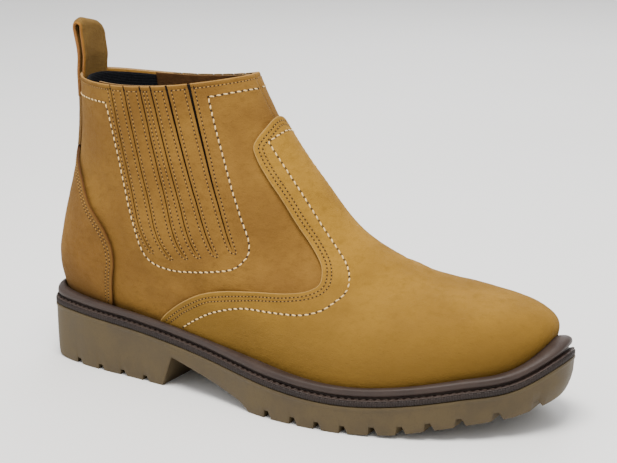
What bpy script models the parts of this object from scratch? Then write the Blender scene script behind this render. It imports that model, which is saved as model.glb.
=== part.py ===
"""Steel toe work boot, right foot, built as separate pieces in metres.

The toe points to +X, the outer (lateral) side to -Y and +Z is up.  The origin is on the ground under
the middle of the boot.  Tables are in millimetres measured from the back of the heel; world() turns
them into metres in the model's own frame.
"""

import math

import bmesh
import bpy
import numpy as np

NAME = "steel_toe_work_boot"
MM = 0.001

# ---------------------------------------------------------------- driving dimensions, millimetres

SOLE_LENGTH = 300.0
HEEL_BREAST_FOOT = 88.0
HEEL_BREAST_TOP = 95.0
TREAD_STEP_TOP = 143.0
TREAD_STEP_FOOT = 150.0
TOE_START = 260.0
TOE_CHAMFER = 6.5

MIDSOLE_THICKNESS = 4.2
WELT_JOINT_HEIGHT = 10.0
MARGIN_HEIGHT = 4.8
MARGIN_WIDTH = 8.0
STACK_GAP = 0.3

LEATHER = 1.6
QUARTER_DEPTH = 2.2
TOE_CAP_DEPTH = 2.3
TOE_CAP_WALL = 1.6
TOE_CAP_REAR_X = 230.0
EDGE_STRIP_WIDTH = 7.0
EDGE_STRIP_DEPTH = 2.6
EDGE_STRIP_WALL = 1.0
INNER_LAYER_DEPTH = 4.6
STIFFENER_WALL = 0.8
VAMP_LINING_DEPTH = 5.2
SHAFT_LINING_DEPTH = 6.8
FACING_DEPTH = 8.4
LINING = 0.9

TAB_WIDTH = 20.5
TAB_HINGE = (23.6, 160.0)
TAB_CLEARANCE = 1.8
TAB_CORNERS = ((-0.5, 0.955), (-0.42, 0.995), (-0.3, 1), (0.22, 1), (0.36, 0.985), (0.45, 0.94), (0.5, 0.86))
THREAD_RADIUS = 0.45
THREAD_LIFT = 0.9
WELT_THREAD_RADIUS = 0.35

# The welt, measured up from the outsole's top face and inwards from the sole's outline.
WELT_ROOT = 0.6
WELT_TOE_ROOT = 1.4
WELT_SHOULDER = 8.4
WELT_CREST = 10.3
FLANGE_FOOT = 4.5
FLANGE_TOP = 5.9
WELT_INSET = 0.7
WELT_LEDGE = 2.1
WELT_THREAD_INSET = 1.3
WELT_TOE_RISE = 0.8

# Flat layers inside, with heights above the outsole's top face and insets from the upper's foot.
INSOLE_HEIGHT = 13.0
INSOLE_THICKNESS = 2.2
INSOLE_INSET = 8.6
FOOTBED_HEIGHT = 15.6
FOOTBED_THICKNESS = 5.4
FOOTBED_INSET = 10.2
FOOTBED_BEVEL = 1.2
FILLER_INSET = 11.5
FOREFOOT_FILLER_TOP = 12.5
WAIST_FILLER_TOP = 9.0
FOREFOOT_FILLER_SPAN = (156, 268)
WAIST_FILLER_SPAN = (26, 155)
SHANK_SPAN = (50, 150)
SHANK_EDGES = (-6, 8)
SHANK_HEIGHT = 9.5
SHANK_THICKNESS = 1.5

# The tread's top edge: height of the outsole's upper face along the boot.
SOLE_STATIONS = (0, 80, 140, 210, 260, 286, 300)
SOLE_TOP_HEIGHTS = (30.9, 26.4, 19.3, 14.8, 21.0, 26.0, 35.0)

# Sole outline seen from above, heel back first, then the outer side, toe and inner side.
SOLE_OUTLINE = (
    (0, 0), (6.5, -21.5), (30, -31.5), (75, -38), (120, -45), (165, -57), (205, -58), (245, -48),
    (278, -29), (296.5, -9), (300, 6), (293.3, 25), (271, 40.5), (235, 48), (200, 47), (160, 41),
    (120, 36.5), (75, 37), (30, 33), (7, 22),
)

# One row for each height of the upper.  back and front are the (x, z) of the ring's ends, dip is how
# far its middle hangs on the outer and the inner side, swing is how far its front leans inwards, and
# the half widths are read at the back, 45%, 75% and the front of the ring's length.
RING_LEVELS = (0.00, 0.08, 0.16, 0.26, 0.38, 0.52, 0.68, 0.84, 1.00)
RING_BACK = (
    (3.8, 40.0), (0.8, 50.0), (0.7, 59.0), (2.6, 68.5), (5.5, 80.0), (9.8, 94.0), (14.4, 111.0),
    (18.0, 134.0), (18.5, 159.3),
)
RING_FRONT = (
    (290, 38.0), (292, 49.0), (285, 58.2), (262, 63.2), (225, 68.4), (190, 82.6), (164, 110.4),
    (142, 138.5), (127, 165.0),
)
RING_DIP = (
    (12, 12), (12, 12), (12, 12), (11, 11), (10, 10), (9, 9), (7, 7), (5, 6.5), (3.2, 7.5),
)
RING_SWING = (7, 7, 6, 5, 4, 2, 0, 0, 0)
WIDTH_STATIONS = (0, 0.45, 0.75, 1)
RING_OUTER_WIDTH = (
    (40, 43, 62, 58), (44, 44, 62, 59), (46, 44, 57, 56), (47, 42, 50, 48), (45, 42, 46, 42),
    (42, 42, 41, 36), (38, 39, 39, 32), (36, 38, 36, 29), (35, 38, 37, 31),
)
RING_INNER_WIDTH = (
    (40, 31, 45, 44), (43, 34, 48, 48), (45, 36, 48, 46), (45, 37, 45, 42), (43, 39, 42, 37),
    (41, 41, 39, 34), (38, 38, 38, 31), (36, 38, 36, 29), (35, 38, 37, 31),
)
RING_FULLNESS = 0.92
MARGIN_CORNER = -0.05
MARGIN_END = -0.13

# Panel edges on the upper, as (level, place round the ring).  Place 0 is the heel, 0.5 the toe.
VAMP_EDGE = (
    (-0.13, 0.172), (0, 0.183), (0.153, 0.208), (0.233, 0.227), (0.31, 0.26), (0.35, 0.293),
    (0.37, 0.34), (0.4, 0.358), (0.44, 0.376), (0.48, 0.389), (0.537, 0.401), (0.66, 0.403),
    (0.78, 0.399), (0.833, 0.423), (0.862, 0.475),
)
HIDDEN_EDGE = (
    (-0.13, 0.195), (0, 0.205), (0.1, 0.225), (0.2, 0.262), (0.28, 0.31), (0.33, 0.345),
    (0.38, 0.385), (0.44, 0.41), (0.52, 0.425), (0.8, 0.428), (0.86, 0.498), (1, 0.498),
)
COUNTER_EDGE = (
    (-0.13, 0.125), (0, 0.136), (0.278, 0.152), (0.383, 0.159), (0.468, 0.157), (0.51, 0.149),
    (0.567, 0.13), (0.65, 0.107), (0.7, 0.078), (0.735, 0.045), (0.752, 0.02),
)
STIFFENER_EDGE = ((-0.13, 0.115), (0, 0.125), (0.35, 0.145), (0.5, 0.13), (0.62, 0.09), (0.68, 0.04))
GORE_BACK_EDGE = ((0.4, 0.205), (1, 0.186))
GORE_FRONT_EDGE = ((0.4, 0.325), (1, 0.384))

# Slits in the gore panel, as (foot level, place at the foot, place at the collar).
SLITS = (
    (0.46, 0.213, 0.205), (0.46, 0.23, 0.234), (0.46, 0.252, 0.265),
    (0.46, 0.268, 0.284), (0.51, 0.288, 0.311), (0.51, 0.311, 0.348),
)
SLIT_ROW = 0.46
SLIT_HALF_WIDTH = 0.0013
SEAM_PLACE = 0.002
BACK_COLUMNS = 11
FRONT_SHARES = (0.25, 0.5, 0.72, 0.88, 0.96, 1)

# Stitch lines on the outer faces, as (level, place round the ring).
VAMP_STITCH = (
    (0.02, 0.204), (0.07, 0.213), (0.132, 0.228), (0.2, 0.254), (0.217, 0.278), (0.233, 0.301),
    (0.265, 0.32), (0.32, 0.346), (0.368, 0.372), (0.415, 0.394), (0.47, 0.416), (0.537, 0.432),
    (0.655, 0.438), (0.762, 0.441), (0.807, 0.437), (0.825, 0.47),
)
GORE_STITCH = (
    (0.935, 0.05), (0.94, 0.12), (0.945, 0.191), (0.833, 0.195), (0.668, 0.199), (0.532, 0.203),
    (0.41, 0.199), (0.365, 0.204), (0.358, 0.218), (0.38, 0.239), (0.42, 0.269), (0.453, 0.294),
    (0.488, 0.312), (0.522, 0.326), (0.562, 0.335), (0.623, 0.34), (0.693, 0.346), (0.768, 0.353),
    (0.858, 0.361), (0.95, 0.372), (0.95, 0.43), (0.948, 0.49),
)

# Grooves across the tread, by their distance from the heel's back.
HEEL_GROOVES = (27, 44, 60, 76)
FOREFOOT_GROOVES = (162, 178, 192, 206, 221, 234.5, 247.5, 261, 276.5, 292)
GROOVE_WIDTH = 4.0
GROOVE_REACH = 140.0
HEEL_GROOVE_DEPTH = 3.0
FOREFOOT_GROOVE_DEPTH = 4.0
CHANNEL_WIDTH = 8.0
CHANNELS = (("heel_channel", 22, 76), ("forefoot_channel", 160, 262))

# ---------------------------------------------------------------- curves and surfaces


def smooth(knots, values, at):
    """Catmull-Rom interpolation of values (one row for each knot)."""
    knots = np.asarray(knots, float)
    values = np.asarray(values, float).reshape(len(knots), -1)
    at = np.asarray(at, float)
    step = np.diff(knots)[:, None]
    slope = np.diff(values, axis=0) / step
    weight = step[1:] / (step[1:] + step[:-1])
    tangent = np.empty_like(values)
    tangent[1:-1] = slope[:-1] * weight + slope[1:] * (1 - weight)
    tangent[0] = 1.5 * slope[0] - 0.5 * tangent[1]
    tangent[-1] = 1.5 * slope[-1] - 0.5 * tangent[-2]
    piece = np.clip(np.searchsorted(knots, at, side="right") - 1, 0, len(step) - 1)
    h = step[piece]
    f = ((at - knots[piece]) / h[..., 0])[..., None]
    result = values[piece] * (1 + 2 * f) * (1 - f) ** 2 + tangent[piece] * h * f * (1 - f) ** 2
    result += values[piece + 1] * f * f * (3 - 2 * f) + tangent[piece + 1] * h * f * f * (f - 1)
    return result[..., 0] if result.shape[-1] == 1 else result


def sole_top(x):
    return smooth(SOLE_STATIONS, SOLE_TOP_HEIGHTS, x)


def tread_bottom(x):
    """Underside of the outsole: flat heel, breast, rising shank, step, flat tread and toe spring."""
    knots = (0, HEEL_BREAST_FOOT, HEEL_BREAST_TOP, TREAD_STEP_TOP, TREAD_STEP_FOOT, 205, 230, 265, 283, 300)
    heights = (0, 0, 17, 4.5, 0, 0, 1.8, 8.2, 10.4, 15)
    return np.interp(x, knots, heights)


def closed_outline(points, count):
    """Closed smooth curve through the points, as count points."""
    loop = np.array(points, float)
    padded = np.vstack([loop[-2:], loop, loop[:3]])
    spacing = np.linalg.norm(np.diff(padded, axis=0), axis=1) ** 0.5
    knots = np.concatenate([[0], np.cumsum(spacing)])
    return smooth(knots, padded, np.linspace(knots[2], knots[2 + len(loop)], count, endpoint=False))


def at_width_station(table, along):
    """Half width at a fraction of the ring's length, from one row of four widths for each place."""
    flat = table.reshape(-1, len(WIDTH_STATIONS))
    values = [smooth(WIDTH_STATIONS, row, place) for row, place in zip(flat, along.ravel())]
    return np.array(values).reshape(along.shape)


def ring_surface(place, level):
    """Outer face of the upper above the welt joint."""
    outer_side = place <= 0.5
    half = np.where(outer_side, 2 * place, 2 - 2 * place)
    along = (1 - np.cos(math.pi * half)) / 2
    back = smooth(RING_LEVELS, RING_BACK, level)
    front = smooth(RING_LEVELS, RING_FRONT, level)
    dip = smooth(RING_LEVELS, RING_DIP, level)
    swing = smooth(RING_LEVELS, RING_SWING, level)
    outer = at_width_station(smooth(RING_LEVELS, RING_OUTER_WIDTH, level), along)
    inner = at_width_station(smooth(RING_LEVELS, RING_INNER_WIDTH, level), along)
    x = back[..., 0] + (front[..., 0] - back[..., 0]) * along
    z = back[..., 1] + (front[..., 1] - back[..., 1]) * along
    hang = np.where(outer_side, dip[..., 0], dip[..., 1]) * 4 * along * (1 - along)
    straight_foot = RING_BACK[0][1] + (RING_FRONT[0][1] - RING_BACK[0][1]) * along
    follow = sole_top(x) + WELT_JOINT_HEIGHT + z - straight_foot
    near_sole = (1 - np.clip(level / 0.5, 0, 1)) ** 2
    height = (z - hang) * (1 - near_sole) + follow * near_sole
    bulge = np.clip(np.sin(math.pi * half), 1e-9, None) ** RING_FULLNESS
    y = swing * along ** 2 + np.where(outer_side, -outer, inner) * bulge
    return np.stack([x, y, height], axis=-1)


def upper_surface(place, level):
    """Outer face of the upper, with the lasting margin turned in below level 0."""
    place, level = np.broadcast_arrays(np.asarray(place, float) % 1, np.asarray(level, float))
    points = ring_surface(place, np.clip(level, 0, 1))
    step = 0.004
    ahead = ring_surface((place + step) % 1, np.zeros_like(level))
    behind = ring_surface((place - step) % 1, np.zeros_like(level))
    run = ahead - behind
    inward = np.stack([-run[..., 1], run[..., 0], np.zeros_like(level)], axis=-1)
    inward /= np.linalg.norm(inward, axis=-1, keepdims=True)
    down = np.clip(level / MARGIN_CORNER, 0, 1)
    turned = np.clip((level - MARGIN_CORNER) / (MARGIN_END - MARGIN_CORNER), 0, 1)
    points = points + inward * (down + turned * MARGIN_WIDTH)[..., None]
    drop = WELT_JOINT_HEIGHT - MARGIN_HEIGHT
    points[..., 2] -= down * drop
    floor = sole_top(points[..., 0]) + MARGIN_HEIGHT
    points[..., 2] = np.where(level <= MARGIN_CORNER, floor, points[..., 2])
    return points


def layer_surface(place, level, depth):
    """The upper's surface moved inwards by depth."""
    step = 0.003
    along = upper_surface(place + step, level) - upper_surface(place - step, level)
    up = upper_surface(place, level + step) - upper_surface(place, level - step)
    normal = np.cross(along, up)
    normal /= np.linalg.norm(normal, axis=-1, keepdims=True)
    return upper_surface(place, level) - normal * depth


def edge_place(edge, level):
    levels, places = zip(*edge)
    return np.interp(level, levels, places)


def strip_grid(levels, start, stop, columns):
    """Rows of places from start to stop, one row for each level."""
    fraction = np.linspace(0, 1, columns)
    places = np.array([a + (b - a) * fraction for a, b in zip(start, stop)])
    return places, np.repeat(np.asarray(levels, float)[:, None], columns, axis=1)


def half_outline(loop):
    """Splits a closed outline at its ends into the outer and the inner side, both heel to toe."""
    toe = int(np.argmax(loop[:, 0]))
    heel = int(np.argmin(loop[:, 0]))
    turned = np.roll(loop, -heel, axis=0)
    toe = (toe - heel) % len(loop)
    return turned[:toe + 1], np.vstack([turned[toe:], turned[:1]])[::-1]


def inset_outline(loop, inset):
    """Closed outline moved inwards by inset, which may be a function of x."""
    reach = inset(loop[:, 0])[:, None] if callable(inset) else inset
    run = np.roll(loop, -2, axis=0) - np.roll(loop, 2, axis=0)
    inward = np.stack([-run[:, 1], run[:, 0]], axis=1)
    return loop + reach * inward / np.linalg.norm(inward, axis=1, keepdims=True)


def plate_sections(loop, profile, fractions, x_limits=None):
    """Cross sections of a sole layer.

    profile lists (inset, height function) from the top edge down to the bottom edge, and fractions
    are the sections' places between the plate's ends.
    """
    sides = []
    for inset, height in profile:
        outer, inner = half_outline(inset_outline(loop, inset))
        start, stop = x_limits or (outer[0, 0], outer[-1, 0])
        x = start + (stop - start) * np.asarray(fractions)
        y_outer = np.interp(x, outer[:, 0], outer[:, 1])
        y_inner = np.interp(x, inner[:, 0], inner[:, 1])
        middle = (y_outer + y_inner) / 2
        y_outer = np.minimum(y_outer, middle - 2)
        y_inner = np.maximum(y_inner, middle + 2)
        z = height(x)
        sides.append((np.stack([x, y_outer, z], 1), np.stack([x, y_inner, z], 1)))
    loops = [side[0] for side in sides] + [side[1] for side in reversed(sides)]
    return np.stack(loops, axis=1)


def round_ends(count):
    """Fractions from 0 to 1 that crowd together at the rounded ends."""
    return (1 - np.cos(np.linspace(0, math.pi, count))) / 2


def above_sole(offset):
    return lambda x: sole_top(x) + offset


def toe_share(x):
    """0 behind the toe, rising to 1 at its tip."""
    return np.clip((np.asarray(x, float) - TOE_START) / (SOLE_LENGTH - TOE_START), 0, 1) ** 2


OUTLINE = closed_outline(SOLE_OUTLINE, 720)
MIDDLE_Y = (OUTLINE[:, 1].min() + OUTLINE[:, 1].max()) / 2
FOOT_RING = upper_surface(np.linspace(0, 1, 360, endpoint=False), 0.0)[:, :2]


def world(points):
    """Millimetres from the heel's back to metres in the boot's frame."""
    return (np.asarray(points, float) - (SOLE_LENGTH / 2, MIDDLE_Y, 0)) * MM


# ---------------------------------------------------------------- making objects


def clear_scene():
    for thing in list(bpy.data.objects):
        bpy.data.objects.remove(thing, do_unlink=True)


def make_collection(name):
    collection = bpy.data.collections.new(name)
    bpy.context.scene.collection.children.link(collection)
    return collection


def make_material(name, color, roughness, metallic=0.0):
    material = bpy.data.materials.new(name)
    material.use_nodes = True
    shader = material.node_tree.nodes["Principled BSDF"]
    shader.inputs["Base Color"].default_value = (*color, 1)
    shader.inputs["Roughness"].default_value = roughness
    shader.inputs["Metallic"].default_value = metallic
    material.diffuse_color = (*color, 1)
    return material


def add_mesh(name, points, faces, material, collection):
    mesh = bpy.data.meshes.new(name)
    mesh.from_pydata([tuple(point) for point in points], [], faces)
    mesh.materials.append(material)
    thing = bpy.data.objects.new(name, mesh)
    collection.objects.link(thing)
    return thing


def face_outwards(thing):
    work = bmesh.new()
    work.from_mesh(thing.data)
    bmesh.ops.recalc_face_normals(work, faces=work.faces)
    work.to_mesh(thing.data)
    work.free()
    thing.data.shade_smooth()
    thing.data.set_sharp_from_angle(angle=math.radians(35))


def panel(name, places, levels, depth, thickness, material, open_cells=()):
    """A sheet of the upper: rows of (place, level) on one layer, thickened inwards."""
    rows, columns = places.shape
    points = world(layer_surface(places, levels, depth)).reshape(-1, 3)
    faces = []
    for row in range(rows - 1):
        for column in range(columns - 1):
            if (row, column) in open_cells:
                continue
            first = row * columns + column
            faces.append((first, first + 1, first + columns + 1, first + columns))
    thing = add_mesh(name, points, faces, material, PARTS)
    thing.data.shade_smooth()
    solidify = thing.modifiers.new("Thickness", "SOLIDIFY")
    solidify.thickness = thickness * MM
    solidify.offset = -1
    return thing


def loft(name, sections, material, closed=False):
    """Solid through equal closed sections; a closed loft joins its last section to its first."""
    count, size = sections.shape[:2]
    faces = []
    for section in range(count if closed else count - 1):
        following = (section + 1) % count
        for point in range(size):
            beside = (point + 1) % size
            faces.append((section * size + point, section * size + beside,
                          following * size + beside, following * size + point))
    if not closed:
        faces.append(tuple(range(size)))
        faces.append(tuple(range((count - 1) * size, count * size)))
    thing = add_mesh(name, world(sections).reshape(-1, 3), faces, material, PARTS)
    face_outwards(thing)
    return thing


def thread(name, points, material, radius=THREAD_RADIUS, closed=False):
    """Round thread through the points."""
    curve = bpy.data.curves.new(name, "CURVE")
    curve.dimensions = "3D"
    curve.bevel_depth = radius * MM
    curve.bevel_resolution = 0
    curve.use_fill_caps = not closed
    spline = curve.splines.new("POLY")
    spline.points.add(len(points) - 1)
    for spot, point in zip(spline.points, world(points)):
        spot.co = (*point, 1)
    spline.use_cyclic_u = closed
    curve.materials.append(material)
    thing = bpy.data.objects.new(name, curve)
    PARTS.objects.link(thing)
    return thing


def box_cutter(name, centre, size):
    bpy.ops.mesh.primitive_cube_add(size=1, location=world(centre))
    cutter = bpy.context.object
    cutter.name = name
    cutter.scale = tuple(value * MM for value in size)
    for collection in list(cutter.users_collection):
        collection.objects.unlink(cutter)
    CUTTERS.objects.link(cutter)
    cutter.hide_render = True
    cutter.display_type = "WIRE"
    return cutter


def cut(thing, cutter):
    boolean = thing.modifiers.new(cutter.name, "BOOLEAN")
    boolean.operation = "DIFFERENCE"
    boolean.solver = "EXACT"
    boolean.object = cutter


def hang_on_axis(thing, name, point):
    """Parents a moving piece to an empty on its joint's axis."""
    axis = bpy.data.objects.new(name, None)
    axis.location = world(point)
    PARTS.objects.link(axis)
    bpy.context.view_layer.update()
    thing.parent = axis
    thing.matrix_parent_inverse = axis.matrix_world.inverted()


# ---------------------------------------------------------------- the upper


def build_vamp():
    levels = (-0.13, -0.05, 0, 0.08, 0.153, 0.233, 0.31, 0.35, 0.37, 0.4, 0.44, 0.48, 0.52, 0.57,
              0.63, 0.7, 0.78, 0.833, 0.862)
    edge = edge_place(VAMP_EDGE, levels)
    places, heights = strip_grid(levels, edge, 1 - edge, 29)
    panel("vamp", places, heights, 0, LEATHER, NUBUCK)


def build_vamp_lining():
    levels = (-0.12, -0.05, 0, 0.1, 0.2, 0.26, 0.32, 0.38, 0.42, 0.47, 0.52, 0.6, 0.7, 0.8)
    edge = edge_place(HIDDEN_EDGE, levels) + 0.01
    places, heights = strip_grid(levels, edge, 1 - edge, 21)
    panel("vamp_lining", places, heights, VAMP_LINING_DEPTH, LINING, LINING_CLOTH)


def quarter_places(levels):
    """Columns of one quarter: even near the sole, running along the slits higher up."""
    front = edge_place(HIDDEN_EDGE, levels)
    rows = []
    for level, front_place in zip(levels, front):
        upper_level = max(level, SLIT_ROW)
        slit_lines = []
        for foot_level, foot, top in SLITS:
            line = foot + (top - foot) * (upper_level - foot_level) / (1 - foot_level)
            slit_lines += [line - SLIT_HALF_WIDTH, line + SLIT_HALF_WIDTH]
        back_part = np.linspace(SEAM_PLACE, slit_lines[0], BACK_COLUMNS + 1)[:-1]
        front_part = slit_lines[-1] + (front_place - slit_lines[-1]) * np.array(FRONT_SHARES)
        row = np.concatenate([back_part, slit_lines, front_part])
        even = np.linspace(SEAM_PLACE, front_place, len(row))
        blend = np.clip((SLIT_ROW - level) / (SLIT_ROW - 0.3), 0, 1)
        rows.append(row * (1 - blend) + even * blend)
    return np.array(rows)


def build_quarters():
    levels = (-0.13, -0.05, 0, 0.1, 0.2, 0.3, 0.38, SLIT_ROW, 0.51, 0.57, 0.63, 0.7, 0.8, 0.86, 0.93, 1)
    places = quarter_places(levels)
    heights = np.repeat(np.array(levels)[:, None], places.shape[1], axis=1)
    rows, columns = places.shape
    slots = set()
    for number, (foot_level, _, _) in enumerate(SLITS):
        column = BACK_COLUMNS + 2 * number
        slots |= {(row, column) for row in range(rows - 1) if levels[row] >= foot_level}
    panel("quarter_lateral", places, heights, QUARTER_DEPTH, LEATHER, NUBUCK, slots)
    mirrored = {(row, columns - 2 - column) for row, column in slots}
    panel("quarter_medial", (1 - places)[:, ::-1], heights, QUARTER_DEPTH, LEATHER, NUBUCK, mirrored)


def build_gores():
    levels = (0.4, 0.5, 0.6, 0.7, 0.8, 0.9, 0.985)
    back = edge_place(GORE_BACK_EDGE, levels)
    front = edge_place(GORE_FRONT_EDGE, levels)
    places, heights = strip_grid(levels, back, front, 8)
    panel("gore_elastic_lateral", places, heights, INNER_LAYER_DEPTH, 1.0, ELASTIC)
    places, heights = strip_grid(levels, 1 - front, 1 - back, 8)
    panel("gore_elastic_medial", places, heights, INNER_LAYER_DEPTH, 1.0, ELASTIC)


def build_heel():
    levels = (-0.13, -0.05, 0, 0.1, 0.2, 0.3, 0.383, 0.468, 0.51, 0.567, 0.65, 0.7, 0.735, 0.752)
    edge = edge_place(COUNTER_EDGE, levels)
    places, heights = strip_grid(levels, -edge, edge, 17)
    panel("heel_counter_cover", places, heights, 0, LEATHER, NUBUCK)
    levels = (-0.12, -0.05, 0, 0.1, 0.2, 0.3, 0.38, 0.5, 0.62, 0.68)
    edge = edge_place(STIFFENER_EDGE, levels)
    places, heights = strip_grid(levels, -edge, edge, 19)
    panel("heel_stiffener", places, heights, INNER_LAYER_DEPTH, STIFFENER_WALL, BOARD)
    levels = np.linspace(0.775, 0.995, 6)
    width = np.full(len(levels), 0.046)
    places, heights = strip_grid(levels, -width, width, 7)
    panel("backstay_strip", places, heights, 0, LEATHER, NUBUCK)


def build_shaft_lining():
    levels = (-0.12, -0.05, 0, 0.1, 0.2, 0.3, 0.38, 0.5, 0.62, 0.73, 0.84, 0.91, 0.992)
    edge = edge_place(HIDDEN_EDGE, levels)
    places, heights = strip_grid(levels, -edge, edge, 35)
    panel("shaft_lining", places, heights, SHAFT_LINING_DEPTH, LINING, LINING_CLOTH)


def build_collar_trim():
    levels = (0.84, 0.91, 0.985)
    start = np.full(len(levels), 0.16)
    places, heights = strip_grid(levels, start, 1 - start, 25)
    panel("collar_facing", places, heights, FACING_DEPTH, 1.0, FACING_LEATHER)
    levels = (0.82, 0.88, 0.94, 0.99)
    width = np.array((0.03, 0.048, 0.05, 0.05))
    places, heights = strip_grid(levels, -width, width, 7)
    panel("pull_tab_inner_end", places, heights, FACING_DEPTH, 1.0, NUBUCK)


def toe_cap_level(x):
    """Level where the ridge of the upper reaches x."""
    levels = np.linspace(0.1, 0.6, 200)
    ridge = smooth(RING_LEVELS, RING_FRONT, levels)[:, 0]
    return float(np.interp(-x, -ridge, levels))


def place_at(x, level):
    """Place on the outer side where the upper is at x."""
    back = smooth(RING_LEVELS, RING_BACK, np.clip(level, 0, 1))[..., 0]
    front = smooth(RING_LEVELS, RING_FRONT, np.clip(level, 0, 1))[..., 0]
    along = np.clip((x - back) / (front - back), 0, 1)
    return np.arccos(1 - 2 * along) / math.pi / 2


def build_toe_cap():
    top = toe_cap_level(TOE_CAP_REAR_X)
    levels = np.concatenate([(-0.12, -0.05, 0), top * np.array((0.2, 0.4, 0.58, 0.74, 0.86, 0.94, 0.985))])
    edge = place_at(TOE_CAP_REAR_X, levels)
    places, heights = strip_grid(levels, edge, 1 - edge, 19)
    panel("steel_toe_cap", places, heights, TOE_CAP_DEPTH, TOE_CAP_WALL, STEEL)


def build_edge_strip():
    """Soft strip that covers the toe cap's rear edge."""
    crossing = np.concatenate([np.linspace(0.15, 1, 10), np.linspace(1, 0.15, 10)[1:]])
    rows = []
    for x in (TOE_CAP_REAR_X - 1.0, TOE_CAP_REAR_X - 1.0 - EDGE_STRIP_WIDTH):
        levels = crossing * toe_cap_level(x)
        places = place_at(x, levels)
        places[10:] = 1 - places[10:]
        rows.append((places, levels))
    places = np.stack([rows[0][0], rows[1][0]])
    levels = np.stack([rows[0][1], rows[1][1]])
    panel("toe_cap_edge_strip", places, levels, EDGE_STRIP_DEPTH, EDGE_STRIP_WALL, EDGE_RUBBER)


# ---------------------------------------------------------------- threads and pull tab


def on_surface(line, spacing=7.0):
    """Evenly spaced points just above the outer face along (level, place) knots."""
    levels, places = np.array(line, float).T
    knots = np.arange(len(levels))
    fine = np.linspace(0, len(levels) - 1, 400)
    fine_levels = np.interp(fine, knots, levels)
    fine_places = np.interp(fine, knots, places)
    points = upper_surface(fine_places, fine_levels)
    travelled = np.concatenate([[0], np.cumsum(np.linalg.norm(np.diff(points, axis=0), axis=1))])
    steps = np.linspace(0, travelled[-1], int(travelled[-1] / spacing))
    levels = np.interp(steps, travelled, fine_levels)
    places = np.interp(steps, travelled, fine_places)
    return places, levels


def mirrored_line(line):
    return tuple((level, 1 - place) for level, place in line)


def build_threads():
    whole = VAMP_STITCH + mirrored_line(VAMP_STITCH)[::-1]
    thread("vamp_thread", layer_surface(*on_surface(whole), -THREAD_LIFT), THREAD)
    depth = QUARTER_DEPTH - THREAD_LIFT
    thread("gore_thread_lateral", layer_surface(*on_surface(GORE_STITCH), depth), THREAD)
    inner = mirrored_line(GORE_STITCH)
    thread("gore_thread_medial", layer_surface(*on_surface(inner), depth), THREAD)


def build_pull_tab():
    """Folded strap: seen from the side, an outer leg, a fold and an inner leg, open at the foot."""
    foot = TAB_HINGE[1] + TAB_CLEARANCE
    outline = (
        (20.6, 0), (21.3, 5), (21.3, 10), (20.1, 16.5), (18.9, 21.4), (18.7, 23.4), (19.6, 24.8),
        (21.2, 25.0), (22.4, 23.9), (22.7, 21.3), (23.5, 15.8), (24.5, 10), (25.8, 5), (27.6, 0),
        (26.0, 0), (24.2, 5), (22.8, 10), (21.8, 15.8), (21.1, 21.3), (20.7, 21.3), (21.4, 16.5),
        (22.4, 10), (22.6, 5), (22.2, 0),
    )
    sections = []
    for y, reach in TAB_CORNERS:
        sections.append([(x, y * TAB_WIDTH, foot + up * reach) for x, up in outline])
    tab = loft("pull_tab", np.array(sections), NUBUCK)
    hang_on_axis(tab, "pull_tab_axis", (TAB_HINGE[0], 0, TAB_HINGE[1]))


# ---------------------------------------------------------------- the sole


def build_outsole():
    heel_round = 30 * (1 - np.cos(np.linspace(0, math.pi / 2, 6)))
    toe_round = SOLE_LENGTH - 50 * (1 - np.cos(np.linspace(math.pi / 2, 0, 9)))
    stations = np.concatenate([
        heel_round,
        (40, 55, 70, HEEL_BREAST_FOOT, HEEL_BREAST_TOP, 110, 126),
        (TREAD_STEP_TOP, TREAD_STEP_FOOT, 165, 180, 195, 210, 224, 238),
        toe_round,
    ])
    rim = above_sole(-STACK_GAP / 2)

    def wall(share):
        return lambda x: tread_bottom(x) + share * (rim(x) - tread_bottom(x))

    def foot_inset(x):
        return 0.9 + TOE_CHAMFER * toe_share(x)

    profile = ((0.3, wall(1)), (0, wall(0.7)), (foot_inset, wall(0)))
    sections = plate_sections(OUTLINE, profile, stations / SOLE_LENGTH)
    sole = loft("outsole", sections, SOLE_RUBBER)
    sole.modifiers.new("Flat faces for the cuts", "TRIANGULATE")
    for number, x in enumerate(HEEL_GROOVES + FOREFOOT_GROOVES):
        depth = HEEL_GROOVE_DEPTH if x < HEEL_BREAST_FOOT else FOREFOOT_GROOVE_DEPTH
        height = 2 * (float(tread_bottom(x)) + depth)
        size = (GROOVE_WIDTH, GROOVE_REACH, height)
        groove = box_cutter(f"groove_{number:02d}", (x, MIDDLE_Y, 0), size)
        cut(sole, groove)
    for name, start, stop in CHANNELS:
        middle = (start + stop) / 2
        size = (stop - start, CHANNEL_WIDTH, 2 * HEEL_GROOVE_DEPTH)
        cut(sole, box_cutter(name, (middle, MIDDLE_Y, 0), size))


def build_midsole():
    top = above_sole(MIDSOLE_THICKNESS)
    profile = ((0.9, top), (0.6, above_sole(MIDSOLE_THICKNESS / 2)), (0.9, above_sole(STACK_GAP / 2)))
    loft("midsole", plate_sections(OUTLINE, profile, round_ends(41)), BAND_RUBBER)


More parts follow.
